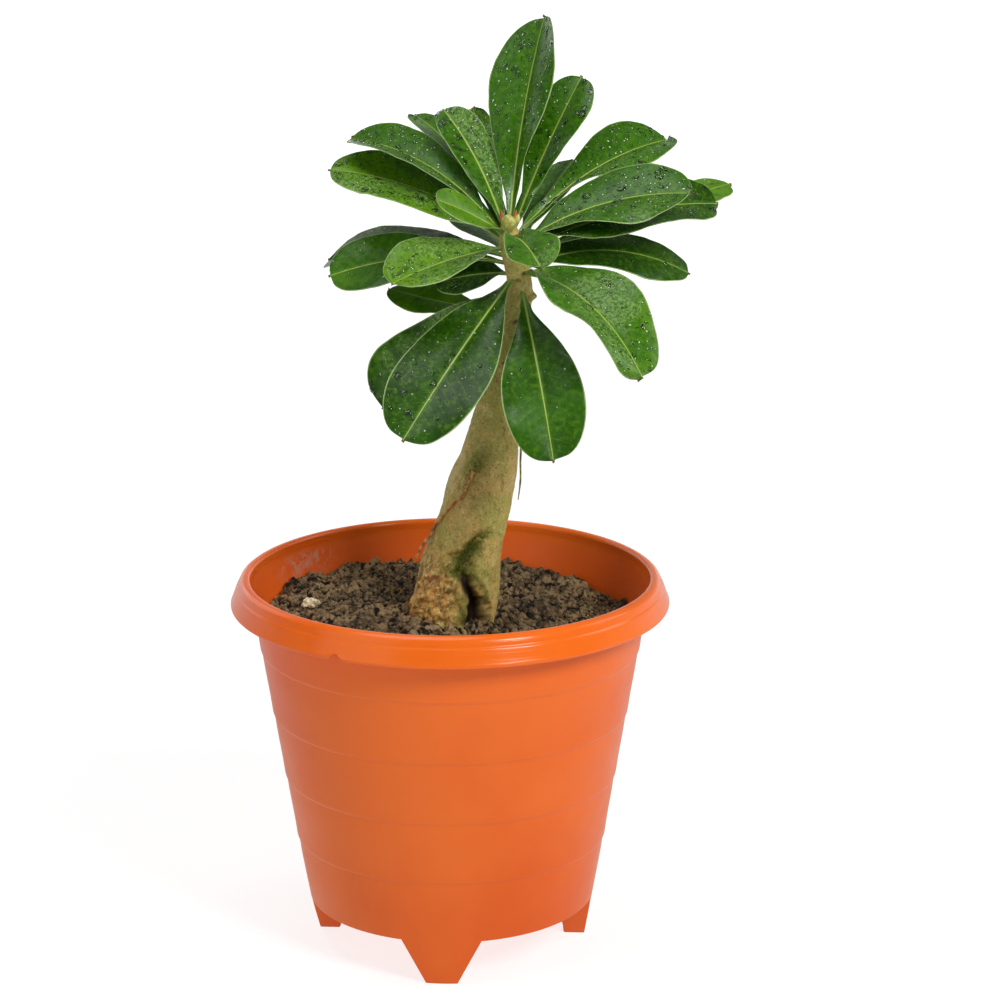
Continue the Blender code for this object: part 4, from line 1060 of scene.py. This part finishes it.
redSkin = budFinish("bud red", (0.70, 0.20, 0.045), (0.34, 0.07, 0.02))
for budName in buds:
    red = buds[budName][5] == "red"
    mount(makeBud(budName, redSkin if red else freshSkin), "bud_red" if red else "bud_green", budName)
mount(makeStrand(), "dry_straw", "dry_strand")
mount(makeThread(), "dry_straw", "dry_thread")
mount(makeCrumb(), "pale_mineral", "pale_crumb")
print("buds, dry pieces and crumb done")


# floor, light and camera

studio = dict(
    floorSize=30.0, front=0.17, back=1.10, overhead=0.22,
    target=(0.0227, 0.0, 0.2095), place=(0.0227, -1.4457, 0.6094), lens=119.2,
    # soft boxes: place, point aimed at, width and height, watts
    boxes={
        "key box": ((1.00, -1.25, 1.35), (0.0, 0.0, 0.2), (0.55, 0.55), 23.0),
        "fill box": ((-1.1, -0.9, 0.9), (0.0, 0.0, 0.2), (1.2, 1.2), 3.5),
        "top box": ((-0.25, -0.15, 1.7), (0.0, 0.0, 0.2), (0.9, 0.9), 8.0),
        "side box": ((1.40, 0.25, 1.10), (0.0, 0.0, 0.2), (0.8, 0.8), 5.0),
        "back box": ((-1.0, 1.0, 0.9), (0.0, 0.0, 0.3), (0.9, 0.9), 3.0),
    },
)


def floorFinish():
    made, tree, shader = newMaterial("pale floor", Roughness=0.9, Specular_IOR_Level=0.1)
    place = placeOf(tree)
    colour = mixed(tree, noiseOf(tree, place, 2.0, 2.0), (0.32, 0.32, 0.32), (0.35, 0.35, 0.35))
    tree.links.new(colour, shader.inputs["Base Color"])
    # a lit sweep: it glows a little near the pot and more where the soft boxes no longer reach
    away = addNode(tree, "ShaderNodeVectorMath", {0: place}, operation="LENGTH").outputs["Value"]
    glow = ranged(tree, away, 0.3, 3.0, (0.45, 0.90))
    seen = addNode(tree, "ShaderNodeLightPath").outputs["Is Camera Ray"]
    tree.links.new(calc(tree, "MULTIPLY_ADD", seen, 0.34, glow), shader.inputs["Emission Strength"])
    shader.inputs["Emission Color"].default_value = (1.0, 1.0, 1.0, 1.0)
    return made


def makeFloor():
    size = studio["floorSize"] / 2
    mark = np.linspace(-size, size, 9)
    x, y = np.meshgrid(mark, mark)
    points = np.stack([x, y, 0 * x - 0.0001], -1).reshape(-1, 3)
    faces = gridFaces(len(mark), len(mark), False, False).tolist()
    floor = meshPiece("studio_floor", points, faces, floorFinish(), smooth=False)


def aimed(made, place, target):
    made.location = np.array(place) + potAxis
    made.rotation_euler = Vector(np.array(target) - np.array(place)).to_track_quat("-Z", "Y").to_euler()
    bpy.context.scene.collection.objects.link(made)


def softBox(name, place, target, size, watts):
    lamp = bpy.data.lights.new(name, "AREA")
    lamp.shape = "RECTANGLE"
    lamp.size, lamp.size_y = size
    lamp.energy = watts
    made = bpy.data.objects.new(name, lamp)
    made.visible_camera = False
    aimed(made, place, target)


def makeWorld():
    # dim in front and bright behind, so that rounded sides catch pale edges; plain white where seen directly
    world = bpy.data.worlds.new("soft white")
    world.use_nodes = True
    tree = world.node_tree
    direction = addNode(tree, "ShaderNodeTexCoord").outputs["Generated"]
    parts = addNode(tree, "ShaderNodeSeparateXYZ", {0: direction}).outputs
    strength = ranged(tree, parts[1], -0.35, 0.85, (studio["front"], studio["back"]))
    strength = calc(tree, "MULTIPLY", strength, ranged(tree, parts[2], 0.05, 0.42, (1.0, studio["overhead"])))
    seen = addNode(tree, "ShaderNodeLightPath").outputs["Is Camera Ray"]
    strength = addNode(tree, "ShaderNodeMix", {0: seen, 2: strength, 3: 1.0}).outputs[0]
    tree.links.new(strength, tree.nodes["Background"].inputs["Strength"])
    tree.nodes["Background"].inputs["Color"].default_value = (1.0, 1.0, 1.0, 1.0)
    bpy.context.scene.world = world


def makeStudio():
    makeFloor()
    makeWorld()
    for name, (place, target, size, watts) in studio["boxes"].items():
        softBox(name, place, target, size, watts)
    lens = bpy.data.cameras.new("camera")
    lens.lens = studio["lens"]
    lens.sensor_width = 36.0
    lens.clip_end = 50.0
    camera = bpy.data.objects.new("camera", lens)
    aimed(camera, studio["place"], studio["target"])
    bpy.context.scene.camera = camera
    bpy.context.scene.view_settings.view_transform = "Standard"


makeStudio()
print("studio done")
bpy.context.view_layer.update()
